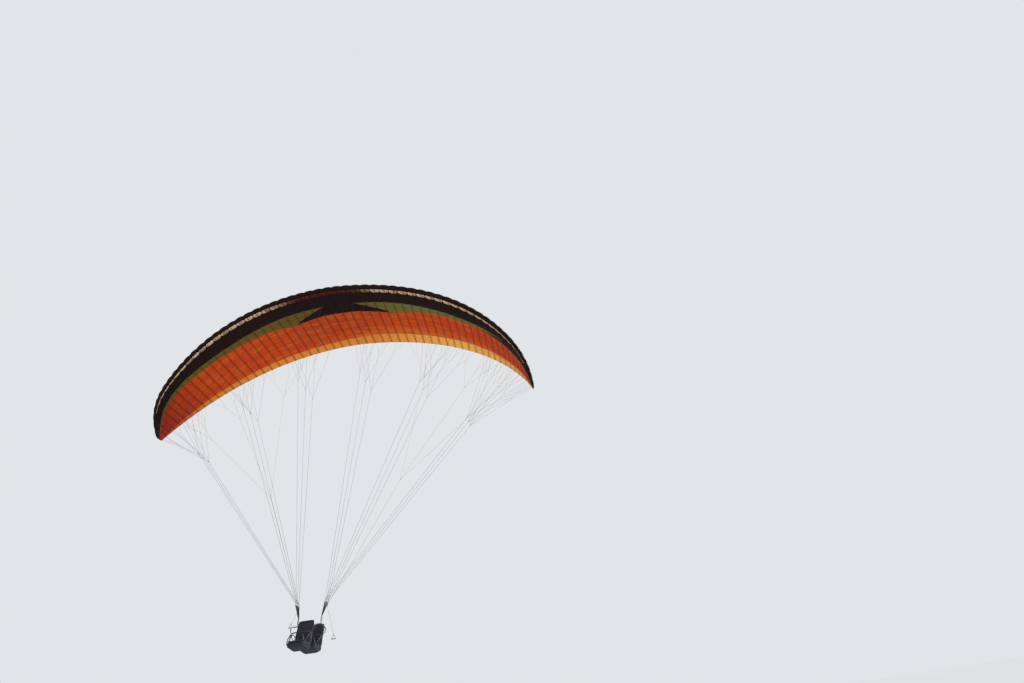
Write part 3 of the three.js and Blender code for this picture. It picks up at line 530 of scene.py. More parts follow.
def canopy_material(name, dark_shift, glow, mottle, panel_seams):
    """Sewn ripstop cloth in the wing's colours, with painted light in them. dark_shift moves the
    dark nose's border, and mottle is how strongly painted streaks of light and shade, with painted highlights
    along creases, change the tint from place to place."""
    material, tree, shader = new_material(name)
    across, chord, cell, metres = canopy_maps(tree)
    span, shifted = abs(across), chord - dark_shift

    worn = use(tree, wear_and_painted_light, {"Place": metres, "Scale": 1.9, "Stretch": (1.0, 0.55, 1.0)})
    streaks = use(tree, wear_and_painted_light, {"Place": metres, "Scale": 2.6, "Stretch": (0.5, 2.2, 1.0)})
    # Painted light: the golden share paints the sun's glow through the rear, which starts further forward on
    # the sunlit side, and the streaks paint the light and shade of wrinkles and highlights along creases.
    glow_front = border(tree, across, GLOW_FRONT)
    painted_light_share = ramp(chord, glow_front, glow_front + 0.3) * 0.9
    painted_light_share = painted_light_share + (streaks("Tint") * (2.2 * mottle) + -1.06 * mottle)
    painted_light_share = (painted_light_share + streaks("Crease") ** 4.0 * (0.34 * mottle)).clamped()
    orange = mixed(tree, painted_light_share, ORANGE_CLOTH, GOLD_CLOTH_AND_GLOW)
    deep = ramp(across, -0.70, -1.0)
    orange = mixed(tree, largest(deep, ramp(across, 0.88, 1.0)), orange, DEEP_RED_CLOTH)

    past_dark = behind(shifted, border(tree, span, DARK_REAR))
    past_olive = behind(shifted, border(tree, across, OLIVE_REAR))
    past_middle = behind(shifted, border(tree, span, ORANGE_FRONT))
    past_amber = behind(chord, border(tree, across, AMBER_FRONT))
    in_orange = past_dark * past_olive * past_middle
    in_olive = past_dark * (1.0 - past_olive)
    green = ramp(across, 0.0, 0.4) * 0.8 + worn("Tint") * 0.3
    colour = mixed(tree, in_olive, BLACK_CLOTH, mixed(tree, green, OLIVE_CLOTH, GREEN_CLOTH))
    colour = mixed(tree, in_orange, colour, orange)
    amber = mixed(tree, worn("Tint") * 0.6, AMBER_CLOTH, GOLD_CLOTH_AND_GLOW)
    # Painted light: the trailing band turns paler towards the sunlit side, where more sun glows through it.
    amber = mixed(tree, ramp(across, 0.05, 0.55, 0.0, 0.85), amber, SUNLIT_PALE_AMBER)
    amber = mixed(tree, deep * 0.85, amber, ORANGE_CLOTH)
    colour = mixed(tree, past_amber, colour, amber)

    # Painted shade: dark lines along the rib and panel seams, partly the seams themselves and partly the
    # shade of the ribs seen through the lit cloth, and a broader painted shade in the crease beside each rib.
    seam = use(tree, rib_seam, {"Cell": cell, "Width": 0.018, "Softness": 0.035})
    drawn = [use(tree, edge_line, {"Value": chord, "At": at, "Width": 0.005})("Line") * 0.55
             for at in panel_seams]
    shade = largest(seam("Line") * 0.85, *drawn, seam("Gather") * 0.28)
    shade = shade * largest(in_olive, in_orange, past_amber)
    colour = mixed(tree, shade, colour, SEAM_SHADE)

    folds = ripstop(tree, metres) * 0.05 + worn("Crease") * 2.0
    bump = finish_with(tree, shader, colour, worn("Tint") * 0.14 + 0.50, folds, strength=0.35,
                       distance=0.004, more={"Specular IOR Level": 0.12})
    lit_through(tree, shader, colour, glow, {"Normal": bump})
    return material


lower_cloth = canopy_material("lower_cloth", dark_shift=0.0, glow=0.45, mottle=0.95,
                              panel_seams=(0.30, 0.52, 0.66, 0.80))
upper_cloth = canopy_material("upper_cloth", dark_shift=0.02, glow=0.45, mottle=0.4,
                              panel_seams=(0.12, 0.36, 0.60, 0.80))
print("canopy materials:", lower_cloth.name, upper_cloth.name)

# %% [markdown]
# ## Upper and lower skins
# The upper skin runs from the front lip of the air openings, round the nose and back to
# the trailing band. The lower skin starts at the rear lip. Between the lips each cell is
# open, so that the wind can fill the wing. The lips come together at each rib, which
# leaves a row of rounded slots. Both skins are grids of points, with a column on each rib
# whose edges are marked sharp, because the cloth is creased along the seam there.

# %% Canopy skins
CELL_STEPS = 8
BAND_SHARE = 0.80
MOUTH_SHARE, MOUTH_HALF, LAST_OPEN_CELL, LIP_PINCH = 0.047, 0.019, 25, 0.9
MOUTH_TAPER = ((0, 0.6, 0.85), (1, 1, 0.5))  # shares of the span, and the opening's height there


def columns_between(first, last):
    return np.linspace(first, last, (last - first) * CELL_STEPS + 1)


def mouth(cells):
    """Half of the opening's height, as a share of the chord, at each column."""
    across = cells - np.floor(cells + 1e-9)
    tall = np.interp(np.abs(span_share(cells)), *MOUTH_TAPER)
    is_open = (cells > -LAST_OPEN_CELL - 1e-6) & (cells < LAST_OPEN_CELL - 1e-6)
    return MOUTH_HALF * tall * is_open * (1 - LIP_PINCH * np.abs(2 * across - 1) ** 8)


def rows_between(q_start, q_end, count, ease):
    """Rows from q_start to q_end for each column, closer together towards q_end."""
    u = np.linspace(0, 1, count)
    eased = u * (1 + ease) - ease * u**2
    return np.asarray(q_start)[:, None] + np.asarray(q_end - q_start)[:, None] * eased


def mesh_object(name, points, faces, materials):
    mesh = bpy.data.meshes.new(name)
    mesh.from_pydata(np.asarray(points).tolist(), [], [list(map(int, face)) for face in faces])
    for material in materials:
        mesh.materials.append(material)
    mesh.polygons.foreach_set("use_smooth", [True] * len(mesh.polygons))
    made = bpy.data.objects.new(name, mesh)
    bpy.context.scene.collection.objects.link(made)
    return made


def corner_values(mesh, name, values):
    """A UV map from one pair of values for each point."""
    corners = np.empty(len(mesh.loops), int)
    mesh.loops.foreach_get("vertex_index", corners)
    layer = mesh.uv_layers.new(name=name)
    layer.data.foreach_set("uv", np.asarray(values)[corners].astype(np.float32).ravel())


def cloth_panel(name, cells, q, materials, depth=0.0, flip=False):
    """A panel of the canopy: a grid with the wing and cell maps and creased ribs."""
    points = cloth_points(cells, q, depth)
    q = np.broadcast_to(q, points.shape[:2])
    columns, rows = q.shape
    faces = grid_faces(columns, rows, flip)
    made = mesh_object(name, points.reshape(-1, 3), faces, materials)
    share = np.broadcast_to(span_share(cells)[:, None], q.shape)
    number = np.broadcast_to(cells[:, None], q.shape)
    chord = section(cells)[1][:, None]
    corner_values(made.data, "wing", np.stack([share, q**2], -1).reshape(-1, 2))
    corner_values(made.data, "cell", np.stack([number, q**2 * chord], -1).reshape(-1, 2))
    ends = np.empty(2 * len(made.data.edges), int)
    made.data.edges.foreach_get("vertices", ends)
    first, second = (ends.reshape(-1, 2) // rows).T
    on_rib = np.abs(cells - np.round(cells)) < 1e-6
    creased = made.data.attributes.new("sharp_edge", "BOOLEAN", "EDGE")
    creased.data.foreach_set("value", (first == second) & on_rib[first])
    return made


all_cells = columns_between(-CELLS_A_SIDE, CELLS_A_SIDE)
lip = mouth(all_cells)
band_q = np.full(len(all_cells), math.sqrt(BAND_SHARE))
upper_q = rows_between(-np.sqrt(MOUTH_SHARE - lip), band_q, count=104, ease=0.45)
lower_q = rows_between(-np.sqrt(MOUTH_SHARE + lip), -band_q, count=84, ease=0.27)
upper_skin = cloth_panel("upper_skin", all_cells, upper_q, [upper_cloth], flip=True)
lower_skin = cloth_panel("lower_skin", all_cells, lower_q, [lower_cloth])
SECTION_NAMES = ("centre", "left_inner", "left_outer", "left_tip", "right_inner", "right_outer", "right_tip")


def stretched_cloth(made):
    """The panel's area, in square metres."""
    area = sum(face.area for face in made.data.polygons)
    return area


for made, side in ((upper_skin, "upper"), (lower_skin, "lower")):
    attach(made, "canopy")
    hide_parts(*(f"{section_name}_{side}_surface" for section_name in SECTION_NAMES))
    print(made.name, len(made.data.polygons), "faces,", round(stretched_cloth(made), 2), "square metres")

# %% [markdown]
# ## Trailing band and flaps
# The rear of the wing is a lighter band, sewn from an upper and a lower strip that meet in
# the thin trailing edge. Outboard of the centre, pulling the brakes bends this band down.
# Each flap's cloth is its own piece, and the start and end of a blend from the canopy to its
# flap across the hinge line are worked out for it, but no blend is applied, so the pieces stay
# where they are made. The cells next to the fixed parts are gussets, whose blend would run
# across them from the rib that stays with the canopy. Where two flaps meet, the inner one ends
# in a sleeve that slides inside the outer one, because pulled flaps crowd together.

# %% Trailing band
BEND_START, BEND_END, BAND_ROWS = 0.82, 0.88, 20
SLEEVE_DEPTH, SLEEVE_REACH, SLEEVE_TAPER = 0.003, 0.04, 0.03


def chord_point(cell, share):
    """A point half way between the skins."""
    nose, chord, up, _, _ = section(np.array([float(cell)]))
    y, top = profile(math.sqrt(share), chord[0])
    _, base = profile(-math.sqrt(share), chord[0])
    return nose[0] + (0, y, 0) + up[0] * (top + base) / 2


def blend_plane(points, values):
    """Start and end of the blend that has these three values at these three points."""
    a, b, c = points
    edges = np.stack([b - a, c - a])
    wanted = np.array([values[1] - values[0], values[2] - values[0]])
    slope = edges.T @ np.linalg.solve(edges @ edges.T, wanted)
    start = a - slope * values[0] / (slope @ slope)
    return start, start + slope / (slope @ slope)


def band_piece(name, first, last, sleeve=0):
    """The band between two ribs. sleeve is the side, 1 or -1, that ends in a sleeve, or 0."""
    cells = columns_between(first, last)
    depth = np.zeros((len(cells), 1))
    if sleeve:
        end = -1 if sleeve > 0 else 0
        cells[end] += sleeve * SLEEVE_REACH
        depth[end] = SLEEVE_DEPTH
    top = np.sqrt(np.linspace(BAND_SHARE, 1, BAND_ROWS))
    q = np.concatenate([top, -top[::-1]])
    inset = depth * np.clip((q**2 - BAND_SHARE) / SLEEVE_TAPER, 0, 1)
    made = cloth_panel(name, cells, q, [upper_cloth, lower_cloth], depth=inset, flip=True)
    lower_faces = np.tile(np.arange(len(q) - 1) >= len(top) - 1, len(cells) - 1)
    made.data.polygons.foreach_set("material_index", lower_faces.astype(np.int32))
    return made


def plane_for(first, last, pinned):
    """The blend across a flap's piece. pinned is the rib that stays with the canopy."""
    if pinned is None:
        places = (first, BEND_START), (last, BEND_START), (first, BEND_END)
    else:
        free = last if pinned == first else first
        places = (pinned, 1), (free, BEND_START), (free, BEND_END)
    return blend_plane([chord_point(*place) for place in places], (0, 0, 1))


bands = []
for name, first, last in (("centre_band", -5, 5), ("left_tip_band", 25, 28), ("right_tip_band", -28, -25)):
    made = band_piece(name, first, last)
    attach(made, "canopy")
    bands.append(made)
FLAP_PARTS = [  # flap, first rib, last rib, rib that stays with the canopy, ends in a sleeve
    (1, 5, 6, 5, False), (1, 6, 10, None, True), (2, 10, 15, None, True), (3, 15, 20, None, True),
    (4, 20, 24, None, False), (4, 24, 25, 25, False)]
for side, word in SIDES:
    for flap, inner, outer, pinned, sleeve in FLAP_PARTS:
        first, last = sorted((side * inner, side * outer))
        kind = "cloth" if pinned is None else "gusset"
        made = band_piece(f"{word}_flap_{flap}_{kind}", first, last, side if sleeve else 0)
        start, end = plane_for(first, last, None if pinned is None else side * pinned)
        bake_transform(made)
        if kind == "cloth":
            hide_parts(f"{word}_flap_{flap}")
        bands.append(made)
for made in bands:
    stretched_cloth(made)
print("band pieces:", len(bands), "with", sum(len(made.data.polygons) for made in bands), "faces")

# %% [markdown]
# ## Swept pieces
# Lines, straps, tubes and rings are all one cross-section carried along a route. `sweep`
# does this: it places the section at each point of the route, joins the rings and closes
# the ends. It also records how far round and how far along each point lies, which the
# weave uses. `Pile` collects such pieces until they become one object.

# %% Sweep
def unit(vector):
    vector = np.asarray(vector, float)
    return vector / np.linalg.norm(vector, axis=-1, keepdims=True)


def circle(radius, sides=8):
    turn = np.arange(sides) * 2 * math.pi / sides
    return radius * np.stack([np.cos(turn), np.sin(turn)], -1)


def rounded_bar(width, thickness, corner=None):
    """A flat strap's section, with its corners rounded. It starts on the thin edge."""
    corner = thickness * 0.45 if corner is None else corner
    x, y = width / 2, thickness / 2
    return np.array([(x, 0), (x, y - corner), (x - corner, y), (0, y), (corner - x, y), (-x, y - corner),
                     (-x, 0), (-x, corner - y), (corner - x, -y), (0, -y), (x - corner, -y), (x, corner - y)])


def sweep(route, outline, wide=None, closed=False, scale=None):
    """Points, faces and maps of a section carried along a route; its x side lies along wide."""
    route = np.asarray(route, float)
    if closed:
        tangent = unit(np.roll(route, -1, 0) - np.roll(route, 1, 0))
    else:
        tangent = unit(np.gradient(route, axis=0))
    if wide is None:
        overall = np.abs(tangent).mean(0)
        wide = np.eye(3)[int(np.argmin(overall))]
    wide = np.broadcast_to(np.asarray(wide, float), route.shape)
    side = unit(wide - (wide * tangent).sum(-1, keepdims=True) * tangent)
    up = np.cross(tangent, side)
    scale = np.ones(len(route)) if scale is None else np.asarray(scale, float)
    rings = (route[:, None] + scale[:, None, None]
             * (outline[None, :, :1] * side[:, None] + outline[None, :, 1:] * up[:, None]))
    count = len(outline)
    i, j = np.meshgrid(np.arange(len(route) if closed else len(route) - 1), np.arange(count), indexing="ij")
    a, b = i * count + j, i * count + (j + 1) % count
    step = (((i + 1) % len(route)) - i) * count
    faces = [list(face) for face in np.stack([a, b, b + step, a + step], -1).reshape(-1, 4)]
    if not closed:
        faces.append(list(range(count))[::-1])
        faces.append([(len(route) - 1) * count + k for k in range(count)])
    along = np.concatenate([[0], np.cumsum(np.linalg.norm(np.diff(route, axis=0), axis=1))])
    around = np.concatenate([[0], np.cumsum(np.linalg.norm(np.diff(outline, axis=0), axis=1))])
    maps = np.stack(np.broadcast_arrays(around[None, :], along[:, None]), -1)
    return rings.reshape(-1, 3), faces, maps.reshape(-1, 2)


class Pile:
    """Pieces that become one object."""

    def __init__(self):
        self.points, self.faces, self.maps, self.slots, self.count = [], [], [], [], 0

    def add(self, piece, slot=0):
        points, faces, maps = piece
        self.points.append(points)
        self.maps.append(maps)
        self.faces += [[index + self.count for index in face] for face in faces]
        self.slots += [slot] * len(faces)
        self.count += len(points)
        return self

    def build(self, name, materials, sharp=35):
        """One object. Edges that turn by more than sharp degrees stay sharp."""
        made = mesh_object(name, np.concatenate(self.points), self.faces, materials)
        made.data.polygons.foreach_set("material_index", self.slots)
        corner_values(made.data, "strap", np.concatenate(self.maps))
        if sharp:
            made.data.set_sharp_from_angle(angle=math.radians(sharp))
        return made


def lerp(a, b, share):
    return np.asarray(a) + (np.asarray(b) - np.asarray(a)) * share


def straight(a, b, steps=1):
    return np.linspace(np.asarray(a, float), np.asarray(b, float), steps + 1)


def smooth_route(points, steps=8):
    """A smooth curve through the given points."""
    points = np.asarray(points, float)
    padded = np.concatenate([[2 * points[0] - points[1]], points, [2 * points[-1] - points[-2]]])
    out = []
    for k in range(1, len(padded) - 2):
        p0, p1, p2, p3 = padded[k - 1:k + 3]
        for t in np.linspace(0, 1, steps, endpoint=False):
            out.append(0.5 * (2 * p1 + (p2 - p0) * t + (2 * p0 - 5 * p1 + 4 * p2 - p3) * t**2
                              + (3 * p1 - p0 - 3 * p2 + p3) * t**3))
    return np.array(out + [points[-1]])


def mirrored(half, middle):
    """A row of places that mirrors itself across the wing, from its first half and its middle."""
    return np.array([*half, middle, *((-x, *rest) for x, *rest in reversed(half))])


print("a tube of 8 sides has", len(sweep(straight((0, 0, 0), (0, 0, 1)), circle(0.1))[1]), "faces a step")

# %% [markdown]
# ## Plain finishes
# The small pieces need five finishes: the lines' braid, woven webbing, satin alloy, black
# grip plastic and the cream cloth inside the wing. Webbing gets its ribs from the strap
# map, in metres, so they have the right size on every strap. The cloth inside glows a
# little, because the sun shines through the whole wing.

# %% Plain finishes
INNER_GLOW = {"Emission Strength": 0.42, "Specular IOR Level": 0.15}
INNER_THROUGH = 0.4


def worn_place(tree, scale):
    """The place in the piece's own space, and the wear there."""
    place = node(tree, "ShaderNodeTexCoord").outputs["Object"]
    return place, use(tree, wear_and_painted_light, {"Place": place, "Scale": scale})


def woven_finish(name, dark, light, weave_of, wear_scale, tones, rough, strength, distance, more=None):
    """Threads whose relief is weave_of(tree, place). tones are the shares that the threads and the
    wear have in the colour, and that the creases have in the relief."""
    material, tree, shader = new_material(name)
    place, worn = worn_place(tree, wear_scale)
    weave = weave_of(tree, place)
    shade = (weave * tones[0] + worn("Tint") * tones[1]).clamped()
    folds = weave + worn("Crease") * tones[2] if tones[2] else weave
    tone = mixed(tree, shade, dark, light)
    finish_with(tree, shader, tone, worn("Tint") * 0.2 + rough, folds, strength, distance, more)
    return material


def webbing_weave(tree, place):
    around, along, _ = map_parts(tree, "strap")
    return wave(along, 0.0022) * 0.5 + wave(around, 0.0016)


def braid_weave(tree, place):
    around, along, _ = map_parts(tree, "strap")
    return wave(around * 1.2 + along, 0.003)


def webbing_material(name, dark, light):
    return woven_finish(name, dark, light, webbing_weave, wear_scale=22.0, tones=(0.13, 0.9, 0), rough=0.62,
                        strength=0.5, distance=0.0006, more={"Sheen Weight": 0.05})


def braid_material(name, dark, light):
    return woven_finish(name, dark, light, braid_weave, wear_scale=6.0, tones=(0.2, 1.0, 0), rough=0.5,
                        strength=0.4, distance=0.0004)


def grained_material(name, dark, light, rough, wear_scale, grain_scale, grain_rough, strength, distance,
                     metallic=0.0):
    """Alloy with fine scratches, or plastic with a grain."""
    material, tree, shader = new_material(name)
    place, worn = worn_place(tree, wear_scale)
    grain = noise(tree, place, grain_scale, Detail=2.0 if metallic else 3.0)
    tone = mixed(tree, worn("Tint"), dark, light)
    finish_with(tree, shader, tone, grain * grain_rough + rough, grain, strength, distance,
                {"Metallic": metallic})
    return material


def alloy_material(name, colour, rough):
    worn_tone = tuple(0.72 * part for part in colour[:3]) + (1,)
    return grained_material(name, colour, worn_tone, rough, wear_scale=60.0, grain_scale=900.0,
                            grain_rough=0.25, strength=0.12, distance=0.0004, metallic=1.0)


def inner_cloth(tree, shader, tone, worn, weave):
    """The cloth inside the wing, with the sunlight in there as a faint glow."""
    finish_with(tree, shader, tone, worn("Tint") * 0.2 + 0.5, weave, strength=0.2, distance=0.001,
                more={"Emission Color": tone, **INNER_GLOW})
    lit_through(tree, shader, tone, INNER_THROUGH)


def lining_material(name, pale, deep, middle):
    """The nose's inside: pale cloth, brown in the middle cells where orange light falls in."""
    material, tree, shader = new_material(name)
    across, _, cell, metres = canopy_maps(tree)
    worn = use(tree, wear_and_painted_light, {"Place": metres, "Scale": 3.0})
    own_light = Value(node(tree, "ShaderNodeTexWhiteNoise", {"W": maths("FLOOR", cell)},
                           noise_dimensions="1D").outputs["Value"])
    tone = mixed(tree, (own_light * 0.75 + (worn("Tint") * 0.7 - 0.3)).clamped(), pale, deep)
    tone = mixed(tree, ramp(abs(across + 0.055), 0.12, 0.26), middle, tone)
    seam = use(tree, rib_seam, {"Cell": cell, "Width": 0.03, "Softness": 0.05})
    tone = mixed(tree, seam("Line"), tone, BLACK_CLOTH)
    inner_cloth(tree, shader, tone, worn, ripstop(tree, metres))
    return material


def rib_material(name, pale, deep, middle, binding):
    """A rib's cloth with a dark binding along its lower edge. The strap map runs up the rib."""
    material, tree, shader = new_material(name)
    place, worn = worn_place(tree, 3.0)
    tone = mixed(tree, worn("Tint") * 0.7, pale, deep)
    tone = mixed(tree, ramp(abs(split(tree, place)[0] + 0.4), 0.9, 1.9), middle, tone)
    tone = mixed(tree, ramp(map_parts(tree, "strap")[0], 0.03, 0.07), binding, tone)
    inner_cloth(tree, shader, tone, worn, ripstop(tree, place))
    return material


webbing_black = webbing_material("webbing_black", (0.008, 0.008, 0.010, 1), (0.034, 0.034, 0.041, 1))
webbing_wine = webbing_material("webbing_wine", (0.045, 0.006, 0.006, 1), (0.13, 0.016, 0.014, 1))
webbing_red = webbing_material("webbing_red", (0.20, 0.012, 0.012, 1), (0.42, 0.04, 0.03, 1))
alloy_satin = alloy_material("alloy_satin", (0.22, 0.23, 0.25, 1), 0.28)
alloy_dark = alloy_material("alloy_dark", (0.070, 0.074, 0.082, 1), 0.30)
line_braid = braid_material("line_braid", (0.020, 0.022, 0.030, 1), (0.075, 0.080, 0.095, 1))
brake_braid = braid_material("brake_braid", (0.16, 0.05, 0.02, 1), (0.36, 0.14, 0.05, 1))
grip_plastic = grained_material("grip_plastic", (0.012, 0.012, 0.014, 1), (0.03, 0.03, 0.034, 1), rough=0.45,
                                wear_scale=40.0, grain_scale=700.0, grain_rough=0.3, strength=0.3,
                                distance=0.0005)
WARM_SHADE, DARK_TAPE = (0.16, 0.035, 0.018, 1), (0.014, 0.005, 0.005, 1)
nose_cloth = lining_material("nose_cloth", (0.95, 0.84, 0.64, 1), (0.36, 0.19, 0.09, 1), WARM_SHADE)
rib_cloth = rib_material("rib_cloth", (0.84, 0.70, 0.48, 1), (0.50, 0.32, 0.18, 1), WARM_SHADE, DARK_TAPE)
tip_cloth = rib_material("tip_cloth", DARK_TAPE, (0.030, 0.010, 0.008, 1), DARK_TAPE, DARK_TAPE)
print("plain finishes ready")

# %% [markdown]
# ## Inside the wing
# Each rib is a cloth wall with the shape of the wing's section. Its edge is bound in dark
# tape, so seen from in front the ribs stand as dark ticks between the openings. Behind the
# openings the nose is lined with pale cloth, which is what looks cream in each slot.

# %% Ribs and lining
ROLL = (1.5, 22.0)  # the cloth that the walls are cut from, side by side
WALL_INSET, WALL_START = 0.0005, 0.55
LINING_INSET, LINING_MOUTH, LINING_END = 0.004, 0.9, 0.5


def rib_wall(k):
    share = np.concatenate([np.linspace(0, 0.1, 6)[:-1], np.linspace(0.1, BAND_SHARE, 14)])
    lowest = np.maximum(np.sqrt(share), math.sqrt(MOUTH_SHARE) * WALL_START)
    cells = np.array([float(k)])
    edges = (np.sqrt(share), -lowest)
    points = np.concatenate([cloth_points(cells, q[None, :], WALL_INSET)[0] for q in edges])
    count = len(share)
    faces = [[i, i + 1, count + i + 1, count + i] for i in range(count - 1)]
    chord = float(section(cells)[1][0])
    maps = np.stack([np.repeat([1.0, 0.0], count), np.concatenate([share, lowest**2]) * chord], -1)
    return points, faces, maps


def rib_walls(name, numbers, cloth):
    pile = Pile()
    for k in numbers:
        pile.add(rib_wall(k))
    return pile.build(name, [cloth], sharp=None)


ribs = rib_walls("cell_ribs", range(1 - CELLS_A_SIDE, CELLS_A_SIDE), rib_cloth)
tip_walls = rib_walls("tip_ribs", (-CELLS_A_SIDE, CELLS_A_SIDE), tip_cloth)
lining_cells = np.linspace(-LAST_OPEN_CELL, LAST_OPEN_CELL, LAST_OPEN_CELL * CELL_STEPS + 1)
lining_q = rows_between(-np.sqrt(MOUTH_SHARE - LINING_MOUTH * mouth(lining_cells)),
                        np.full(len(lining_cells), LINING_END), count=30, ease=0.2)
lining = cloth_panel("nose_lining", lining_cells, lining_q, [nose_cloth], depth=LINING_INSET)
for made in (ribs, tip_walls, lining):
    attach(made, "canopy")
stretched_cloth(lining)
print("ribs:", 2 * CELLS_A_SIDE + 1, "and a lining of", len(lining.data.polygons), "faces")

# %% [markdown]
# ## Lines
# Each riser carries one row of lines. A few strong main lines leave it, fork into middle
# lines, and fork again just under the cloth, where a tab in a rib's seam holds each end.
# The forks follow the CAD source's numbers. The top forks are only made here, because
# they are too thin to matter in the solids. Lines get thinner from fork to fork.

# %% Lines
HANG = np.array([0, 0.700, -9.280])
RISER_TOP_X, RISER_LENGTH, LINE_START = 0.345, 0.360, 0.0303
RISER_ROWS = {"a": (-0.085, 0.12), "b": (0.0, 0.38), "c": (0.085, 0.645)}  # top's y, share of the chord
LINE_GROUPS = ((1, 4, 7), (10, 13, 16), (19, 22, 25, 27))
TOP_RIBS = {1: (1, 2), 4: (3, 5), 7: (6, 8), 10: (9, 11), 13: (12, 14), 16: (15, 17), 19: (18, 20),
            22: (21, 23), 25: (24, 26), 27: (27, 28)}
FORK_SHARE, TOP_FORK_SHARE = 0.68, 0.55
MAIN_RADIUS, MIDDLE_RADIUS, TOP_RADIUS = 0.0026, 0.0021, 0.0017
MAIN_KNOT, BRAKE_KNOT, TOP_KNOT = 0.003, 0.0024, 0.0022
END_DROP, TAB_DROP, TAB_HALF = 0.026, 0.028, 0.006


def under_skin(cell, share, below=0.0):
    return cloth_points(np.array([float(cell)]), np.array([[-math.sqrt(share)]]), -below)[0, 0]


def riser_top(side, top_y, above=0.0):
    return HANG + (side * RISER_TOP_X, top_y, RISER_LENGTH + above)


def line(a, b, radius):
    return sweep(straight(a, b), circle(radius, 6))


def spliced_loops(at, towards, radius):
    """The loops where lines meet: a short thick stretch along the line."""
    run = unit(np.asarray(towards) - at)
    return sweep(straight(at - run * 0.020, at + run * 0.030, 6), circle(radius, 6),
                 scale=[0.6, 1.3, 1.6, 1.5, 1.3, 1.1, 0.6])


def forked_line(pile, a, b, radius, knot_radius):
    """A line that forks at b."""
    pile.add(line(a, b, radius)).add(spliced_loops(b, a, knot_radius))


def tab(cell, share):
    """A small ribbon loop sewn into the seam, with the line's end through it."""
    top, low = under_skin(cell, share, -0.001), under_skin(cell, share, TAB_DROP)
    middle, forward = lerp(top, low, 0.6), np.array([0, TAB_HALF, 0])
    return sweep([top - forward, middle - forward * 0.8, low, middle + forward * 0.8, top + forward],
                 rounded_bar(0.008, 0.0012), wide=section(np.array([float(cell)]))[3][0])


def top_lines(fork, ribs, side, share, pile, with_tabs=True):
    """A middle line that forks once more to two ribs."""
    ends = [under_skin(side * k, share, END_DROP) for k in ribs]
    top_fork = lerp(fork, np.mean(ends, 0), TOP_FORK_SHARE)
    forked_line(pile, fork, top_fork, MIDDLE_RADIUS, TOP_KNOT)
    for end, k in zip(ends, ribs):
        pile.add(line(top_fork, end, TOP_RADIUS))
        if with_tabs:
            pile.add(tab(side * k, share), 1)
    return ends


for side, word in SIDES:
    for row, (top_y, share) in RISER_ROWS.items():
        foot = riser_top(side, top_y, LINE_START)
        pile = Pile()
        for group_of_cells in LINE_GROUPS:
            middle = np.mean([under_skin(side * k, share) for k in group_of_cells], 0)
            fork = lerp(foot, middle, FORK_SHARE)
            forked_line(pile, foot, fork, MAIN_RADIUS, MAIN_KNOT)
            for cell in group_of_cells:
                top_lines(fork, TOP_RIBS[cell], side, share, pile)
        made = pile.build(f"{word}_{row}_line_fan", [line_braid, webbing_black], sharp=None)
        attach(made, "canopy")
        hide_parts(f"{word}_{row}_lines")
print("line fans: 6,", sum(map(len, TOP_RIBS.values())), "tabs each")

# %% [markdown]
# ## Brake lines
# A brake line runs from the grip through a small pulley on the rear riser, forks twice,
# and is sewn to the trailing edge of the flaps. When the pilot pulls, the knot goes all the
# way down with the grip, the pulley's end stays, and each end at the cloth moves as far as
# its flap drops. The middle stretch rides on the moving lines. For each fan, the share at the
# cloth and a blend from it are worked out from the flap's own hinge and range, but not applied,
# so the main stretch and the fans stay where they are made. The ribbon loops are sewn to the
# cloth, so they ride on the flaps.

# %% Brake lines
BRAKE_GROUPS = ((6, 9, 12), (14, 17, 19), (21, 24))
BRAKE_RIBS = {6: (6, 7), 9: (8, 9), 12: (11, 12), 14: (13, 14), 17: (16, 17), 19: (18, 19), 21: (21, 22),
              24: (23, 24)}
CELLS_A_FLAP = 5
BRAKE_SHARE, FAN_FORK_SHARE, KNOT_SHARE, BRAKE_RADIUS = 0.984, 0.7, 0.4, 0.0024
END_BELOW = 0.003
EYE_FROM_HANG = np.array([0.330, 0.0891, 0.2956])
JOINTS = {joint["name"]: joint for joint in frame["joints"]}


def pulley_eye(side):
    return HANG + EYE_FROM_HANG * (side, 1, 1)


def end_share(k, side, word):
    """The share of the travel that keeps a line's end just under rib k of the pulled flap."""
    hinge = JOINTS[f"{word}_flap_{k // CELLS_A_FLAP}_hinge"]
    slide = JOINTS[f"{word}_brake_lines_slide"]
    turn = np.array(Matrix.Rotation(math.radians(hinge["range_deg"][1]), 3, Vector(hinge["axis"])))
    seam, low = under_skin(side * k, BRAKE_SHARE), under_skin(side * k, BRAKE_SHARE, END_DROP)
    moved_seam = hinge["pos_m"] + turn @ (seam - hinge["pos_m"])
    down = turn @ unit(low - seam)
    travel = np.array(slide["axis"]) * slide["range_m"][1]
    return float((END_BELOW - (low - moved_seam) @ down) / (travel @ down))


def before_easing(share):
    """A blend eases in and out. This is the place along it where it reaches this share."""
    steps = np.linspace(0, 1, 501)
    return float(np.interp(share, steps**2 * (3 - 2 * steps), steps))


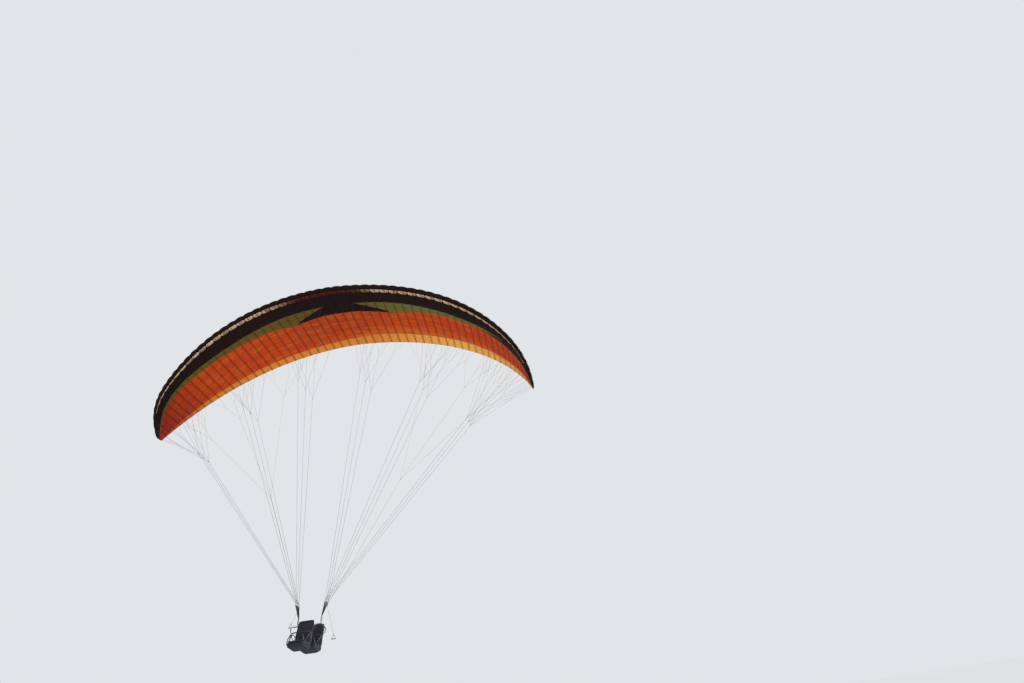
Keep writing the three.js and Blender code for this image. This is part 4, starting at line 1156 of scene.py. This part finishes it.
for side, word in SIDES:
    body = f"{word}_brake_lines"
    eye = pulley_eye(side)
    ends = {k: under_skin(side * k, BRAKE_SHARE, END_DROP) for k in BRAKE_RIBS}
    knot = lerp(eye, np.mean(list(ends.values()), 0), KNOT_SHARE)
    main = Pile().add(line(eye, knot, BRAKE_RADIUS)).build(f"{word}_brake_main", [brake_braid], sharp=None)
    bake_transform(main)
    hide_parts(f"{word}_brake_lines")
    pile = Pile().add(spliced_loops(knot, eye, MAIN_KNOT))
    forks = [lerp(knot, np.mean([ends[k] for k in cells], 0), FAN_FORK_SHARE) for cells in BRAKE_GROUPS]
    for fork in forks:
        forked_line(pile, knot, fork, MIDDLE_RADIUS, BRAKE_KNOT)
    middle = pile.build(f"{word}_brake_middle", [brake_braid], sharp=None)
    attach(middle, body)
    for cells, fork in zip(BRAKE_GROUPS, forks):
        for cell in cells:
            pile = Pile()
            fan_ends = top_lines(fork, BRAKE_RIBS[cell], side, BRAKE_SHARE, pile, with_tabs=False)
            fan = pile.build(f"{word}_brake_fan_{cell}", [brake_braid], sharp=None)
            shares = [end_share(k, side, word) for k in BRAKE_RIBS[cell]]
            start, end = blend_plane((fork, *fan_ends), (1, *map(before_easing, shares)))
            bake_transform(fan)
            print(fan.name, "follows at the cloth by", np.round(shares, 2), "of the travel")
    for flap in (1, 2, 3, 4):
        pile = Pile()
        for k in sum(BRAKE_RIBS.values(), ()):
            if k // CELLS_A_FLAP == flap:
                pile.add(tab(side * k, BRAKE_SHARE))
        tabs = pile.build(f"{word}_brake_tabs_{flap}", [webbing_black], sharp=None)
        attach(tabs, f"{word}_flap_{flap}")

# %% [markdown]
# ## Risers, links, carabiners and pulleys
# Each riser is three straps of webbing. Below, they are sewn together in a loop that wraps
# the carabiner's bar. Each strap then turns by a quarter and ends above in a small loop
# round a screw link, which holds the lines. A carabiner is a bent bar with a gate, whose
# locking sleeve is thicker. Sweeping a section along the right route makes all of them.

# %% Risers and carabiners
CARABINER_X = 0.270
STRAP = rounded_bar(0.024, 0.0021)
FORE_AND_AFT, SIDEWAYS, UPRIGHT = (0, 1, 0), (1, 0, 0), (0, 0, 1)
FEET_LOOP = mirrored([(-0.0040, 0, 0.105), (-0.0045, 0, 0.075), (-0.0085, 0, 0.052), (-0.0078, 0, 0.037)],
                     (0, 0, 0.0292))
LINK_ABOVE, NUT_ASIDE, NUT_HALF = 0.017, 0.0092, 0.006
PULLEY_TAB = ((0.0005, 0.020), (0.002, 0.004), (0.0065, 0), (0.002, -0.004), (0.0005, -0.020))


def hang_point(side):
    return HANG + (side * CARABINER_X, 0, 0)


def quarter_turn(count, reach):
    """Wide directions that turn from fore-and-aft to sideways over the first part."""
    t = np.clip(np.linspace(0, 1, count) / reach, 0, 1)
    angle = math.pi / 2 * (1 - t * t * (3 - 2 * t))
    return np.stack([np.cos(angle), np.sin(angle), np.zeros(count)], -1)


def riser_strap(low, high, front):
    """A strap whose end goes round the link's bar and is sewn back on itself."""
    run = unit(high - low)
    away = unit(np.cross(run, SIDEWAYS)) * front
    round_link = ((-0.04, 0.0012), (-0.010, 0.0045), (0.0036, 0), (-0.010, -0.0045), (-0.04, -0.0012),
                  (-0.085, -0.0012))
    route = smooth_route([low, lerp(low, high, 0.1), lerp(low, high, 0.5),
                          *(high + run * up + away * out for up, out in round_link)])
    return sweep(route, STRAP, wide=quarter_turn(len(route), 0.28))


def oval(width, height, steps, power):
    """A closed loop in its own plane, more square for a larger power."""
    turn = np.arange(steps) * 2 * math.pi / steps
    ring = np.stack([np.cos(turn), np.sin(turn)], -1)
    return ring * (width / 2, height / 2) * (np.abs(ring) ** power).sum(-1, keepdims=True) ** (-1 / power)


def ring_piece(centre, width, height, radius, plane, steps=28, power=2.0):
    """A ring of round bar. plane names the two axes that it lies in."""
    flat = oval(width, height, steps, power)
    route = np.zeros((steps, 3))
    route[:, "xyz".index(plane[0])] = flat[:, 0]
    route[:, "xyz".index(plane[1])] = flat[:, 1]
    third = np.eye(3)["xyz".index(({"x", "y", "z"} - set(plane)).pop())]
    return sweep(route + np.asarray(centre), circle(radius, 10), wide=third, closed=True)


def barrel(a, b, radius, rim=0.8, sides=18, steps=7):
    """A short thick sleeve with softened ends and a few grooves."""
    t = np.linspace(0, 1, steps)
    scale = np.where((t == 0) | (t == 1), rim, np.where(np.arange(steps) % 2 == 1, 1.0, 0.94))
    return sweep(straight(a, b, steps - 1), circle(radius, sides), scale=scale)


for side, word in SIDES:
    foot = hang_point(side)
    pile = Pile()
    for number, (row, (top_y, _)) in enumerate(RISER_ROWS.items()):
        low = foot + ((number - 1) * 0.0024, 0, 0.080)
        high = riser_top(side, top_y)
        pile.add(riser_strap(low, high, -1 if row == "a" else 1))
        run = unit(high - low)
        stitched = straight(high - run * 0.082, high - run * 0.036, 2)
        pile.add(sweep(stitched, rounded_bar(0.0256, 0.0068, 0.001), wide=SIDEWAYS), 1)
    pile.add(sweep(smooth_route(foot + FEET_LOOP), rounded_bar(0.024, 0.0024), wide=FORE_AND_AFT))
    stitched = straight(foot + (0, 0, 0.070), foot + (0, 0, 0.100), 2)
    pile.add(sweep(stitched, rounded_bar(0.027, 0.0145, 0.003), wide=FORE_AND_AFT), 1)
    straps = pile.build(f"{word}_riser_straps", [webbing_black, webbing_wine])
    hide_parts(*(f"{word}_riser_{row}" for row in RISER_ROWS))

    pile = Pile()
    for top_y, _ in RISER_ROWS.values():
        centre = riser_top(side, top_y) + (0, 0, LINK_ABOVE)
        pile.add(ring_piece(centre, 0.0185, 0.0300, 0.0020, "xz", power=3))
        nut = centre + (side * NUT_ASIDE, 0, 0)
        pile.add(barrel(nut - (0, 0, NUT_HALF), nut + (0, 0, NUT_HALF), 0.0036, sides=6, steps=3))
    links = pile.build(f"{word}_screw_links", [alloy_dark])

    pile = Pile().add(ring_piece(foot, 0.062, 0.076, 0.0060, "yz", steps=40, power=2.6))
    gate = foot + (0, -0.031, 0)
    pile.add(barrel(gate - (0, 0, 0.018), gate + (0, 0, 0.012), 0.0084, steps=9), 1)
    pile.add(barrel(gate - (0, 0, 0.026), gate - (0, 0, 0.020), 0.0074, steps=3), 1)
    pile.add(barrel(gate + (-0.0075, 0, 0.020), gate + (0.0075, 0, 0.020), 0.0028, steps=3))
    carabiner = pile.build(f"{word}_carabiner_body", [alloy_satin, alloy_dark])
    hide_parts(f"{word}_main_carabiner")

    eye = pulley_eye(side)
    pile = Pile().add(ring_piece(eye, 0.026, 0.026, 0.0034, "xy"))
    pile.add(ring_piece(eye + (0, 0, 0.0044), 0.029, 0.029, 0.0016, "xy"))
    ribbon = smooth_route([eye + (0, y - 0.0150, z) for y, z in PULLEY_TAB])
    pile.add(sweep(ribbon, rounded_bar(0.010, 0.0014), wide=SIDEWAYS), 1)
    pulley = pile.build(f"{word}_pulley_ring", [alloy_dark, webbing_black])
    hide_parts(f"{word}_brake_pulley")
    for made in (straps, links, carabiner, pulley):
        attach(made, "canopy")
print("risers, links, carabiners and pulleys for both sides")

# %% [markdown]
# ## Brake grips
# A grip hangs on the brake line below its pulley. It is a soft loop of webbing with a
# thicker tube at the bottom, where the hand holds it. It rides on the brake handle, and the
# cord above it runs from the pulley to the grip and stays where it is made.

# %% Brake grips
GRIP_OUT = {1: (0.560, -0.330), -1: (0.470, 0.020)}  # distance out to the side, height from the hang points
GRIP_LOOP = mirrored([(0.012, 0, -0.014), (0.030, 0, -0.050), (0.048, 0, -0.082), (0.040, 0, -0.0875)],
                     (0, 0, -0.0875))
GRIP_TUBE = mirrored([(-0.047, 0, -0.0835), (-0.040, 0, -0.0868)], (0, 0, -0.0872))
for side, word in SIDES:
    out, height = GRIP_OUT[side]
    eye = pulley_eye(side)
    top = HANG + (side * out, EYE_FROM_HANG[1], height)
    cord = Pile().add(line(eye, top - (0, 0, 0.004), BRAKE_RADIUS)).build(
        f"{word}_grip_cord", [brake_braid], sharp=None)
    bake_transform(cord)
    loop = [*(top + GRIP_LOOP), top - (0, 0, 0.004)]
    route = smooth_route(loop + loop[:1], 5)[:-1]
    pile = Pile().add(sweep(route, rounded_bar(0.016, 0.0032), wide=FORE_AND_AFT, closed=True))
    pile.add(sweep(smooth_route(top + GRIP_TUBE, 4), circle(0.0078, 14), wide=FORE_AND_AFT), 1)
    knot = straight(top - (0, 0, 0.020), top + (0, 0, 0.003), 4)
    pile.add(sweep(knot, circle(0.006, 10), scale=[0.7, 1.0, 1.05, 0.9, 0.5]), 1)
    grip = pile.build(f"{word}_grip_loop", [webbing_wine, grip_plastic])
    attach(grip, f"{word}_brake_handle")
    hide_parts(f"{word}_brake_handle")
    print(word, "grip hangs at", np.round(top, 3))

# %% [markdown]
# ## Spreader bars
# A two-seat wing carries two people from one pair of carabiners. On each side, a bent
# tube spreads the load: it hangs from the carabiner by a link at its bend, and each end has
# an eye for one harness. A fabric sleeve covers the tube, so that it can't bruise anyone.

# %% Spreader bars
BAR_BEND_Z, BAR_ENDS = -0.0825, ((-0.330, -0.165), (0.304, -0.150))
LUG_HEIGHTS, LUG_SCALE = (-0.004, 0.012, 0.020, 0.0255), [1, 1, 1, 1, 0.98, 0.95, 0.9, 0.8, 0.6, 0.45]
for side, word in SIDES:
    foot = hang_point(side)
    bend = foot + (0, 0, BAR_BEND_Z)
    ends = [foot + (0, y - math.copysign(0.006, y), z + 0.021) for y, z in BAR_ENDS]
    t = np.linspace(0, 1, 13)[:, None]
    near = [lerp(bend, end, 0.16) for end in ends]
    curve = (1 - t) ** 2 * near[0] + 2 * t * (1 - t) * (bend + (0, 0, 0.004)) + t**2 * near[1]
    route = np.concatenate([straight(ends[0], near[0], 10)[:-1], curve, straight(near[1], ends[1], 10)[1:]])
    pile = Pile().add(sweep(route, circle(0.0100, 18), wide=SIDEWAYS))
    sleeve = route[3:-3]
    folds = 1 + 0.035 * np.sin(np.arange(len(sleeve)) * 2.1)
    folds[0] = folds[-1] = 0.93
    pile.add(sweep(sleeve, circle(0.0125, 18), wide=SIDEWAYS, scale=folds), 1)
    pile.add(ring_piece(foot + (0, 0, -0.0445), 0.032, 0.034, 0.0032, "xz", power=2.4))
    lug = smooth_route([bend + (0, 0, z) for z in LUG_HEIGHTS], 3)
    pile.add(sweep(lug, rounded_bar(0.022, 0.012, 0.004), wide=FORE_AND_AFT, scale=LUG_SCALE))
    for y, z in BAR_ENDS:
        pile.add(ring_piece(foot + (0, y, z), 0.030, 0.030, 0.0040, "yz"))
        socket = foot + (0, y - math.copysign(0.004, y), z + 0.017)
        pile.add(barrel(socket, lerp(socket, bend, 0.1), 0.0118, steps=5))
    bar = pile.build(f"{word}_spreader_tube", [alloy_satin, webbing_black])
    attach(bar, "spreader_bars")
    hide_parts(f"{word}_spreader_bar")
print("spreader bars with eyes at", BAR_ENDS)

# %% [markdown]
# ## Harness cloth
# The harnesses are sewn from coarse dark cloth over foam, with a soft spacer mesh where the
# body rests. A pad that has been simulated has no maps, so both weaves are made from the
# place in space: a sine along each axis gives threads on faces that look any way.

# %% Harness finishes
space_weave, came, went = group(
    "space_weave", [("Place", "Vector", (0, 0, 0)), ("Pitch", "Float", 0.002)], ["Height"])
scaled = node(space_weave, "ShaderNodeVectorMath", {0: came("Place"), 3: 2 * math.pi / came("Pitch")},
              operation="SCALE")
threads = [maths("SINE", part) for part in split(space_weave, scaled.outputs[0])]
went(Height=(threads[0] + threads[1] + threads[2]) * 0.17 + 0.5)


def harness_material(name, dark, light, pitch, weave_tone, depth, rough):
    def weave(tree, place):
        return use(tree, space_weave, {"Place": place, "Pitch": pitch})("Height")
    return woven_finish(name, dark, light, weave, wear_scale=7.0, tones=(weave_tone, 0.8, 3.0), rough=rough,
                        strength=0.5, distance=depth, more={"Specular IOR Level": 0.15})


harness_cloth = harness_material("harness_cloth", (0.005, 0.005, 0.008, 1), (0.020, 0.021, 0.029, 1),
                                 pitch=0.0018, weave_tone=0.35, depth=0.0012, rough=0.62)
pad_mesh = harness_material("pad_mesh", (0.007, 0.007, 0.010, 1), (0.036, 0.038, 0.047, 1),
                            pitch=0.0055, weave_tone=0.55, depth=0.0016, rough=0.75)
print("harness finishes ready")

# %% [markdown]
# ## Inflating foam and cloth
# A padded shell isn't flat: its faces crown between the seams. `inflated` starts from a
# plain closed form, remeshes it evenly, and lets Blender's cloth swell under a little air
# pressure. Each point may move only so far, so the form keeps its size. Then the modifier
# is applied.

# %% Inflate
PRESSURE, FRAMES = 4.0, 20


def lofted(rings):
    """A closed form through rings of points."""
    count = len(rings[0])
    steps = [(r * count, i, (i + 1) % count) for r in range(len(rings) - 1) for i in range(count)]
    faces = [[start + i, start + j, start + count + j, start + count + i] for start, i, j in steps]
    faces.append(list(range(count))[::-1])
    faces.append([(len(rings) - 1) * count + i for i in range(count)])
    return np.concatenate(rings), faces


def apply_modifiers(made):
    depsgraph = bpy.context.evaluated_depsgraph_get()
    mesh = bpy.data.meshes.new_from_object(made.evaluated_get(depsgraph))
    old = made.data
    made.modifiers.clear()
    made.data = mesh
    bpy.data.meshes.remove(old)


def of_points(made, name="co"):
    """The place of each of a mesh's points, or another value with three numbers."""
    values = np.empty(3 * len(made.data.vertices))
    made.data.vertices.foreach_get(name, values)
    return values.reshape(-1, 3)


def inflated(name, points, faces, material, voxel, reach):
    made = mesh_object(name, points, faces, [material])
    work = bmesh.new()
    work.from_mesh(made.data)
    bmesh.ops.recalc_face_normals(work, faces=work.faces)
    work.to_mesh(made.data)
    work.free()
    remesh = made.modifiers.new("even", "REMESH")
    remesh.mode, remesh.voxel_size = "VOXEL", voxel
    apply_modifiers(made)
    start = end = of_points(made)
    cloth = made.modifiers.new("cloth", "CLOTH")
    cloth.settings.quality = 4
    cloth.settings.mass = 0.3
    cloth.settings.tension_stiffness = cloth.settings.compression_stiffness = 15
    cloth.settings.use_pressure = True
    cloth.settings.uniform_pressure_force = PRESSURE
    cloth.settings.effector_weights.gravity = 0
    cloth.point_cache.frame_start, cloth.point_cache.frame_end = 1, FRAMES
    for step in range(1, FRAMES + 1):
        bpy.context.scene.frame_set(step)
    apply_modifiers(made)
    bpy.context.scene.frame_set(1)
    end = of_points(made)
    move = end - start
    length = np.maximum(np.linalg.norm(move, axis=1, keepdims=True), 1e-9)
    made.data.vertices.foreach_set("co", (start + move * np.minimum(1, reach / length)).ravel())
    soften = made.modifiers.new("soften", "SMOOTH")
    soften.factor, soften.iterations = 0.5, 6
    apply_modifiers(made)
    made.data.materials.clear()
    made.data.materials.append(material)
    made.data.polygons.foreach_set("use_smooth", [True] * len(made.data.polygons))
    return made


def resampled(outline, steps):
    """A closed outline with this many steps on each of its sides."""
    return np.concatenate([straight(a, b, steps)[:-1] for a, b in zip(outline, np.roll(outline, -1, 0))])


def upright(flat, x, place):
    """A side profile's points, which are (y, z), set up at x."""
    return np.stack([np.full(len(flat), x), flat[:, 0], flat[:, 1]], -1) + place


def side_form(outline, stations, middle, place, steps=5):
    """A side profile carried across the seat. stations are (x, share of the full profile)."""
    fine, middle = resampled(np.asarray(outline, float), steps), np.asarray(middle)
    return lofted([upright(middle + (fine - middle) * share, x, place) for x, share in stations])


# %% [markdown]
# ## Seat shells, pads and the reserve
# Each harness is a seat with a high back: an outer shell, a pad of spacer mesh where the
# person sits and leans, and for the pilot a container on the back that holds the reserve
# parachute. The side profiles are the CAD source's. Seams with piping are laid along the
# swollen surface afterwards, found by dropping each point of a route onto it.

# %% Seats
SEAT_HALF, PAN_Z, SEAT_DEPTH, BACK_RISE, BACK_SLOPE = 0.190, -0.300, 0.370, 0.470, math.tan(0.24)
SEATS = {"passenger": (np.array([0, 0.370, -9.4525]), 0.028), "pilot": (np.array([0, 1.004, -9.4375]), 0.012)}
SHELL_STATIONS = mirrored([(-SEAT_HALF + 0.008, 0.86), (-SEAT_HALF + 0.012, 0.92),
                           (-SEAT_HALF + 0.030, 0.985), (-0.100, 1)], (0, 1))
PAD_STATIONS = mirrored([(-0.164, 1), (-0.08, 1)], (0, 1))
RESERVE_STATIONS = mirrored([(-0.132, 0.84), (-0.126, 0.93), (-0.11, 0.985)], (0, 1))
BACK_CHANNELS, SEAT_CHANNELS = (-0.215, -0.130, -0.045, 0.040), (0.130, 0.215, 0.300)
CHANNEL_DEPTH, CHANNEL_WIDTH, CROWN = 0.0042, 0.011, 0.0012
PIPING, THIN_PIPING, RESERVE_PIPING, PAD_PIPING = 0.0032, 0.002, 0.0022, 0.0014
RESERVE_TAPE = ((0.19, 0.262), (0.22, 0.20), (0.21, 0.12), (0.20, 0.05))


def shell_profile(back, inset=0.0):
    front, top = back - SEAT_DEPTH, PAN_Z + BACK_RISE
    top_y = back + BACK_RISE * BACK_SLOPE
    points = np.array([
        (front, PAN_Z - 0.012), (front, PAN_Z - 0.060), (front + 0.060, PAN_Z - 0.105),
        (back - 0.020, PAN_Z - 0.150), (back + 0.095, PAN_Z - 0.120), (back + 0.110, PAN_Z + 0.010),
        (top_y + 0.062, top - 0.040), (top_y + 0.030, top), (top_y, top), (back, PAN_Z),
        (back - 0.030, PAN_Z - 0.012)])
    edge = np.roll(points, -1, 0) - points
    inward = unit(np.stack([-edge[:, 1], edge[:, 0]], -1))
    corner = unit(inward + np.roll(inward, 1, 0))
    return points + corner * inset


def surface_of(made):
    return BVHTree.FromObject(made, bpy.context.evaluated_depsgraph_get())


def laid(tree, route, lift):
    """Each point of a route, moved onto the surface and a little out."""
    out = []
    for point in route:
        at, normal, _, _ = tree.find_nearest(Vector(point))
        out.append(np.array(at) + np.array(normal) * lift)
    return np.array(out)


def piping(tree, route, pile, radius, closed=False):
    pile.add(sweep(laid(tree, route, radius * 0.5), circle(radius, 8), closed=closed))


def across_seat(half, y, z, steps):
    return straight((-half, y, z), (half, y, z), steps)


def quilt(made, channels):
    """Pull a pad's surface in along channels that run across it, as if sewn through."""
    points, normals = of_points(made), of_points(made, "normal")
    near = np.min([np.hypot(*(points - at)[:, 1:].T) for at in channels], 0)
    inner = np.clip((normals[:, 2] - normals[:, 1]) - 0.4, 0, 1)
    sunk = CHANNEL_DEPTH * np.exp(-((near / CHANNEL_WIDTH) ** 2)) * inner
    crowned = CROWN * (1 - np.exp(-((near / (3 * CHANNEL_WIDTH)) ** 2))) * inner
    made.data.vertices.foreach_set("co", (points + normals * (crowned - sunk)[:, None]).ravel())
    made.data.update()


for word, (place, back) in SEATS.items():
    front, outline = back - SEAT_DEPTH, shell_profile(back)
    middle = np.array([back + 0.04, PAN_Z - 0.04])
    points, faces = side_form(shell_profile(back, 0.006), SHELL_STATIONS, middle, place)
    shell = inflated(f"{word}_shell", points, faces, harness_cloth, voxel=0.0085, reach=0.009)
    skin = surface_of(shell)
    pile = Pile()
    for side in (1, -1):
        ring = resampled(outline, 6) * 0.97 + 0.03 * middle
        piping(skin, upright(ring, side * (SEAT_HALF - 0.010), place), pile, PIPING, closed=True)
    for share in (0.28, 0.56, 0.80):
        y, z = lerp(outline[5], outline[6], share)
        piping(skin, across_seat(SEAT_HALF - 0.02, y + 0.02, z, 16) + place, pile, THIN_PIPING)
    seams = pile.build(f"{word}_shell_seams", [webbing_black], sharp=None)

    lean_top = PAN_Z + BACK_RISE - 0.050
    lean = back + (lean_top - PAN_Z) * BACK_SLOPE
    pad_points = [
        (front + 0.012, PAN_Z - 0.009), (back - 0.034, PAN_Z - 0.009), (back - 0.005, PAN_Z + 0.006),
        (lean - 0.005, lean_top - 0.004), (lean - 0.018, lean_top - 0.004), (back - 0.030, PAN_Z + 0.026),
        (back - 0.052, PAN_Z + 0.006), (front + 0.012, PAN_Z + 0.006)]
    points, faces = side_form(pad_points, PAD_STATIONS, (back - 0.03, PAN_Z), place)
    pad = inflated(f"{word}_pad", points, faces, pad_mesh, voxel=0.0050, reach=0.0035)
    channels = [(back + (z - PAN_Z) * BACK_SLOPE - 0.018, z) for z in BACK_CHANNELS]
    channels += [(back - y, PAN_Z + 0.006) for y in SEAT_CHANNELS]
    quilt(pad, [place + (0, *at) for at in channels])
    skin = surface_of(pad)
    pile = Pile()
    for y, z in channels:
        off_pad = (0, -0.02, 0) if z > PAN_Z + 0.01 else (0, 0, 0.02)
        piping(skin, across_seat(0.158, y, z, 24) + place + off_pad, pile, PAD_PIPING)
    pad_seams = pile.build(f"{word}_pad_seams", [webbing_black], sharp=None)
    made_now = [shell, seams, pad, pad_seams]
    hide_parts(f"{word}_seat_shell")
    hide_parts(f"{word}_seat_pad")

    if word == "pilot":
        foot, head = outline[5], outline[6]
        slope = (head[0] - foot[0]) / (head[1] - foot[1])
        box = [(foot[0] + 0.020 * slope + 0.006, PAN_Z + 0.036), (back + 0.184, PAN_Z + 0.056),
               (back + 0.207, PAN_Z + 0.198), (back + 0.194, PAN_Z + 0.253),
               (foot[0] + 0.250 * slope + 0.006, PAN_Z + 0.254)]
        points, faces = side_form(box, RESERVE_STATIONS, (back + 0.15, PAN_Z + 0.15), place, 4)
        reserve = inflated("pilot_reserve", points, faces, harness_cloth, voxel=0.0060, reach=0.006)
        skin = surface_of(reserve)
        base = place + (0, back, PAN_Z)
        pile = Pile()
        for x in (-0.046, 0.046):
            piping(skin, smooth_route([(x, y, z) for y, z in RESERVE_TAPE], 6) + base, pile, RESERVE_PIPING)
        for z in (0.086, 0.232):
            piping(skin, across_seat(0.12, 0.24, z, 20) + base, pile, RESERVE_PIPING)
        handle = smooth_route(mirrored([(-0.036, 0.24, 0.15)], (0, 0.24, 0.165)), 6) + base
        handle = laid(skin, handle, lift=0.004)
        handle[3:-3, 1] += 0.004 * np.sin(np.linspace(0, math.pi, len(handle) - 6))
        pile.add(sweep(handle, rounded_bar(0.026, 0.005), wide=UPRIGHT), 1)
        details = pile.build("pilot_reserve_seams", [webbing_black, webbing_red])
        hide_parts("pilot_reserve_container")
        made_now += [reserve, details]
    for made in made_now:
        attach(made, f"{word}_harness")
    print(word, "seat:", len(shell.data.polygons), "shell faces,", len(pad.data.polygons), "pad faces")

# %% [markdown]
# ## Harness webbing
# Webbing carries the person. From the link at each eye of the spreader bar, one strap runs
# down to an adjuster, where it splits into a strap to the front of the seat, one to the
# back and one across the chest. Over each thigh a padded strap closes the seat. Straps
# are swept directly, because a simulation would only thin them.

# %% Webbing and buckles
NARROW, WIDE = rounded_bar(0.024, 0.0030), rounded_bar(0.038, 0.0034)
HIP, LINK_X = SEAT_HALF + 0.040, CARABINER_X
LOW = np.array([HIP, -0.030, -0.110])
THIGH_ARCH = ((0.016, 0), (0.030, 0.050), (0.062, 0.100), (0.095, 0.117), (0.128, 0.094), (0.150, 0.046),
              (0.162, 0))
PLATE_SCALE = [0.8, 0.95, 1, 1, 1, 1, 1, 1, 0.95, 0.8]


def bent(side, place, *points):
    """A smooth route on one side of a seat, from its points on the left side."""
    return smooth_route(points, 7) * (side, 1, 1) + place


def adjuster(centre, pile, slot, turned):
    """A ladder buckle: a frame with a bar across it."""
    c, s = math.cos(turned), math.sin(turned)
    wide, tall = np.array([0, c, s]), np.array([0, -s, c])
    flat = oval(0.036, 0.030, 24, 5)
    route = centre + flat[:, :1] * wide + flat[:, 1:] * tall
    pile.add(sweep(route, circle(0.0028, 8), wide=SIDEWAYS, closed=True), slot)
    pile.add(sweep(straight(centre - wide * 0.017, centre + wide * 0.017, 2), circle(0.0026, 8)), slot)


for word, (place, back) in SEATS.items():
    front = back - SEAT_DEPTH
    to_front = ((HIP - 0.012, front + 0.150, -0.230), (SEAT_HALF + 0.004, front + 0.075, PAN_Z - 0.020),
                (SEAT_HALF + 0.0015, front + 0.060, PAN_Z - 0.052))
    to_back = ((HIP - 0.014, back - 0.010, -0.200), (SEAT_HALF + 0.004, back + 0.050, PAN_Z + 0.060),
               (SEAT_HALF + 0.0015, back + 0.064, PAN_Z + 0.020))
    pile = Pile()
    for side in (1, -1):
        pile.add(ring_piece(place + (side * LINK_X, 0, -0.016), 0.032, 0.034, 0.0032, "xz", power=2.4), 1)
        loop = bent(side, place, (LINK_X - 0.004, 0, -0.060), (LINK_X + 0.0045, 0, -0.038),
                    (LINK_X, 0, -0.0275), (LINK_X - 0.0055, 0, -0.036), (LINK_X - 0.006, -0.002, -0.060),
                    (HIP + 0.006, -0.022, -0.090), LOW)
        pile.add(sweep(loop, NARROW, wide=FORE_AND_AFT))
        cover = straight((LINK_X - 0.0045, -0.002, -0.052), (LINK_X - 0.011, -0.008, -0.070), 2)
        pile.add(sweep(cover * (side, 1, 1) + place, rounded_bar(0.027, 0.0085, 0.003), wide=FORE_AND_AFT), 2)
        adjuster(place + LOW * (side, 1, 1), pile, slot=1, turned=0.15)
        for points in (to_front, to_back):
            pile.add(sweep(bent(side, place, LOW, *points), NARROW, wide=(0, 1, 0.2)))
        chest = bent(side, place, (HIP, -0.032, -0.108), (0.205, -0.066, -0.1075), (0.150, -0.088, -0.106),
                     (0.060, -0.0955, -0.105), (0.030, -0.096, -0.105))
        pile.add(sweep(chest, NARROW, wide=UPRIGHT))
        tail = bent(side, place, (HIP + 0.003, -0.036, -0.122), (HIP + 0.006, -0.046, -0.160),
                    (HIP + 0.002, -0.050, -0.205), (HIP + 0.005, -0.047, -0.235))
        pile.add(sweep(tail, rounded_bar(0.020, 0.0018), wide=FORE_AND_AFT))
    centre = place + (0, -0.0975, -0.105)
    for x0, x1, tall in ((-0.036, -0.004, 0.026), (-0.006, 0.030, 0.020), (0.020, 0.042, 0.027)):
        plate = [centre + (lerp(x0, x1, t), -0.002 * math.sin(math.pi * t), 0) for t in (0, 0.3, 0.7, 1)]
        pile.add(sweep(smooth_route(plate, 3), rounded_bar(tall, 0.0105, 0.003), wide=UPRIGHT,
                       scale=PLATE_SCALE), 3)
    webbing = pile.build(f"{word}_straps", [webbing_black, alloy_dark, webbing_wine, grip_plastic])
    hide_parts(f"{word}_webbing")
    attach(webbing, f"{word}_harness")

    rest, across = PAN_Z + 0.012, front + 0.090
    pile = Pile()
    for side in (1, -1):
        arch = bent(side, place, *((x, across, rest + z) for x, z in THIGH_ARCH))
        pile.add(sweep(arch, WIDE, wide=FORE_AND_AFT))
        pile.add(sweep(arch[14:34], rounded_bar(0.052, 0.0090, 0.003), wide=FORE_AND_AFT,
                       scale=np.interp(np.arange(20), [0, 2, 17, 19], [0.82, 1, 1, 0.82])), 1)
        half = (side * 0.006, 0, 0.014)
        pile.add(sweep(straight(arch[9] - half, arch[9] + half, 4), rounded_bar(0.044, 0.0100, 0.003),
                       wide=FORE_AND_AFT, scale=[0.85, 1, 1, 1, 0.85]), 2)
    pile.add(sweep(across_seat(0.163, across, rest - 0.0008, 12) + place, WIDE, wide=FORE_AND_AFT))
    thighs = pile.build(f"{word}_thigh_straps", [webbing_black, pad_mesh, grip_plastic])
    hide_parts(f"{word}_leg_straps")
    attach(thighs, f"{word}_harness")
print("webbing and thigh straps for both harnesses")
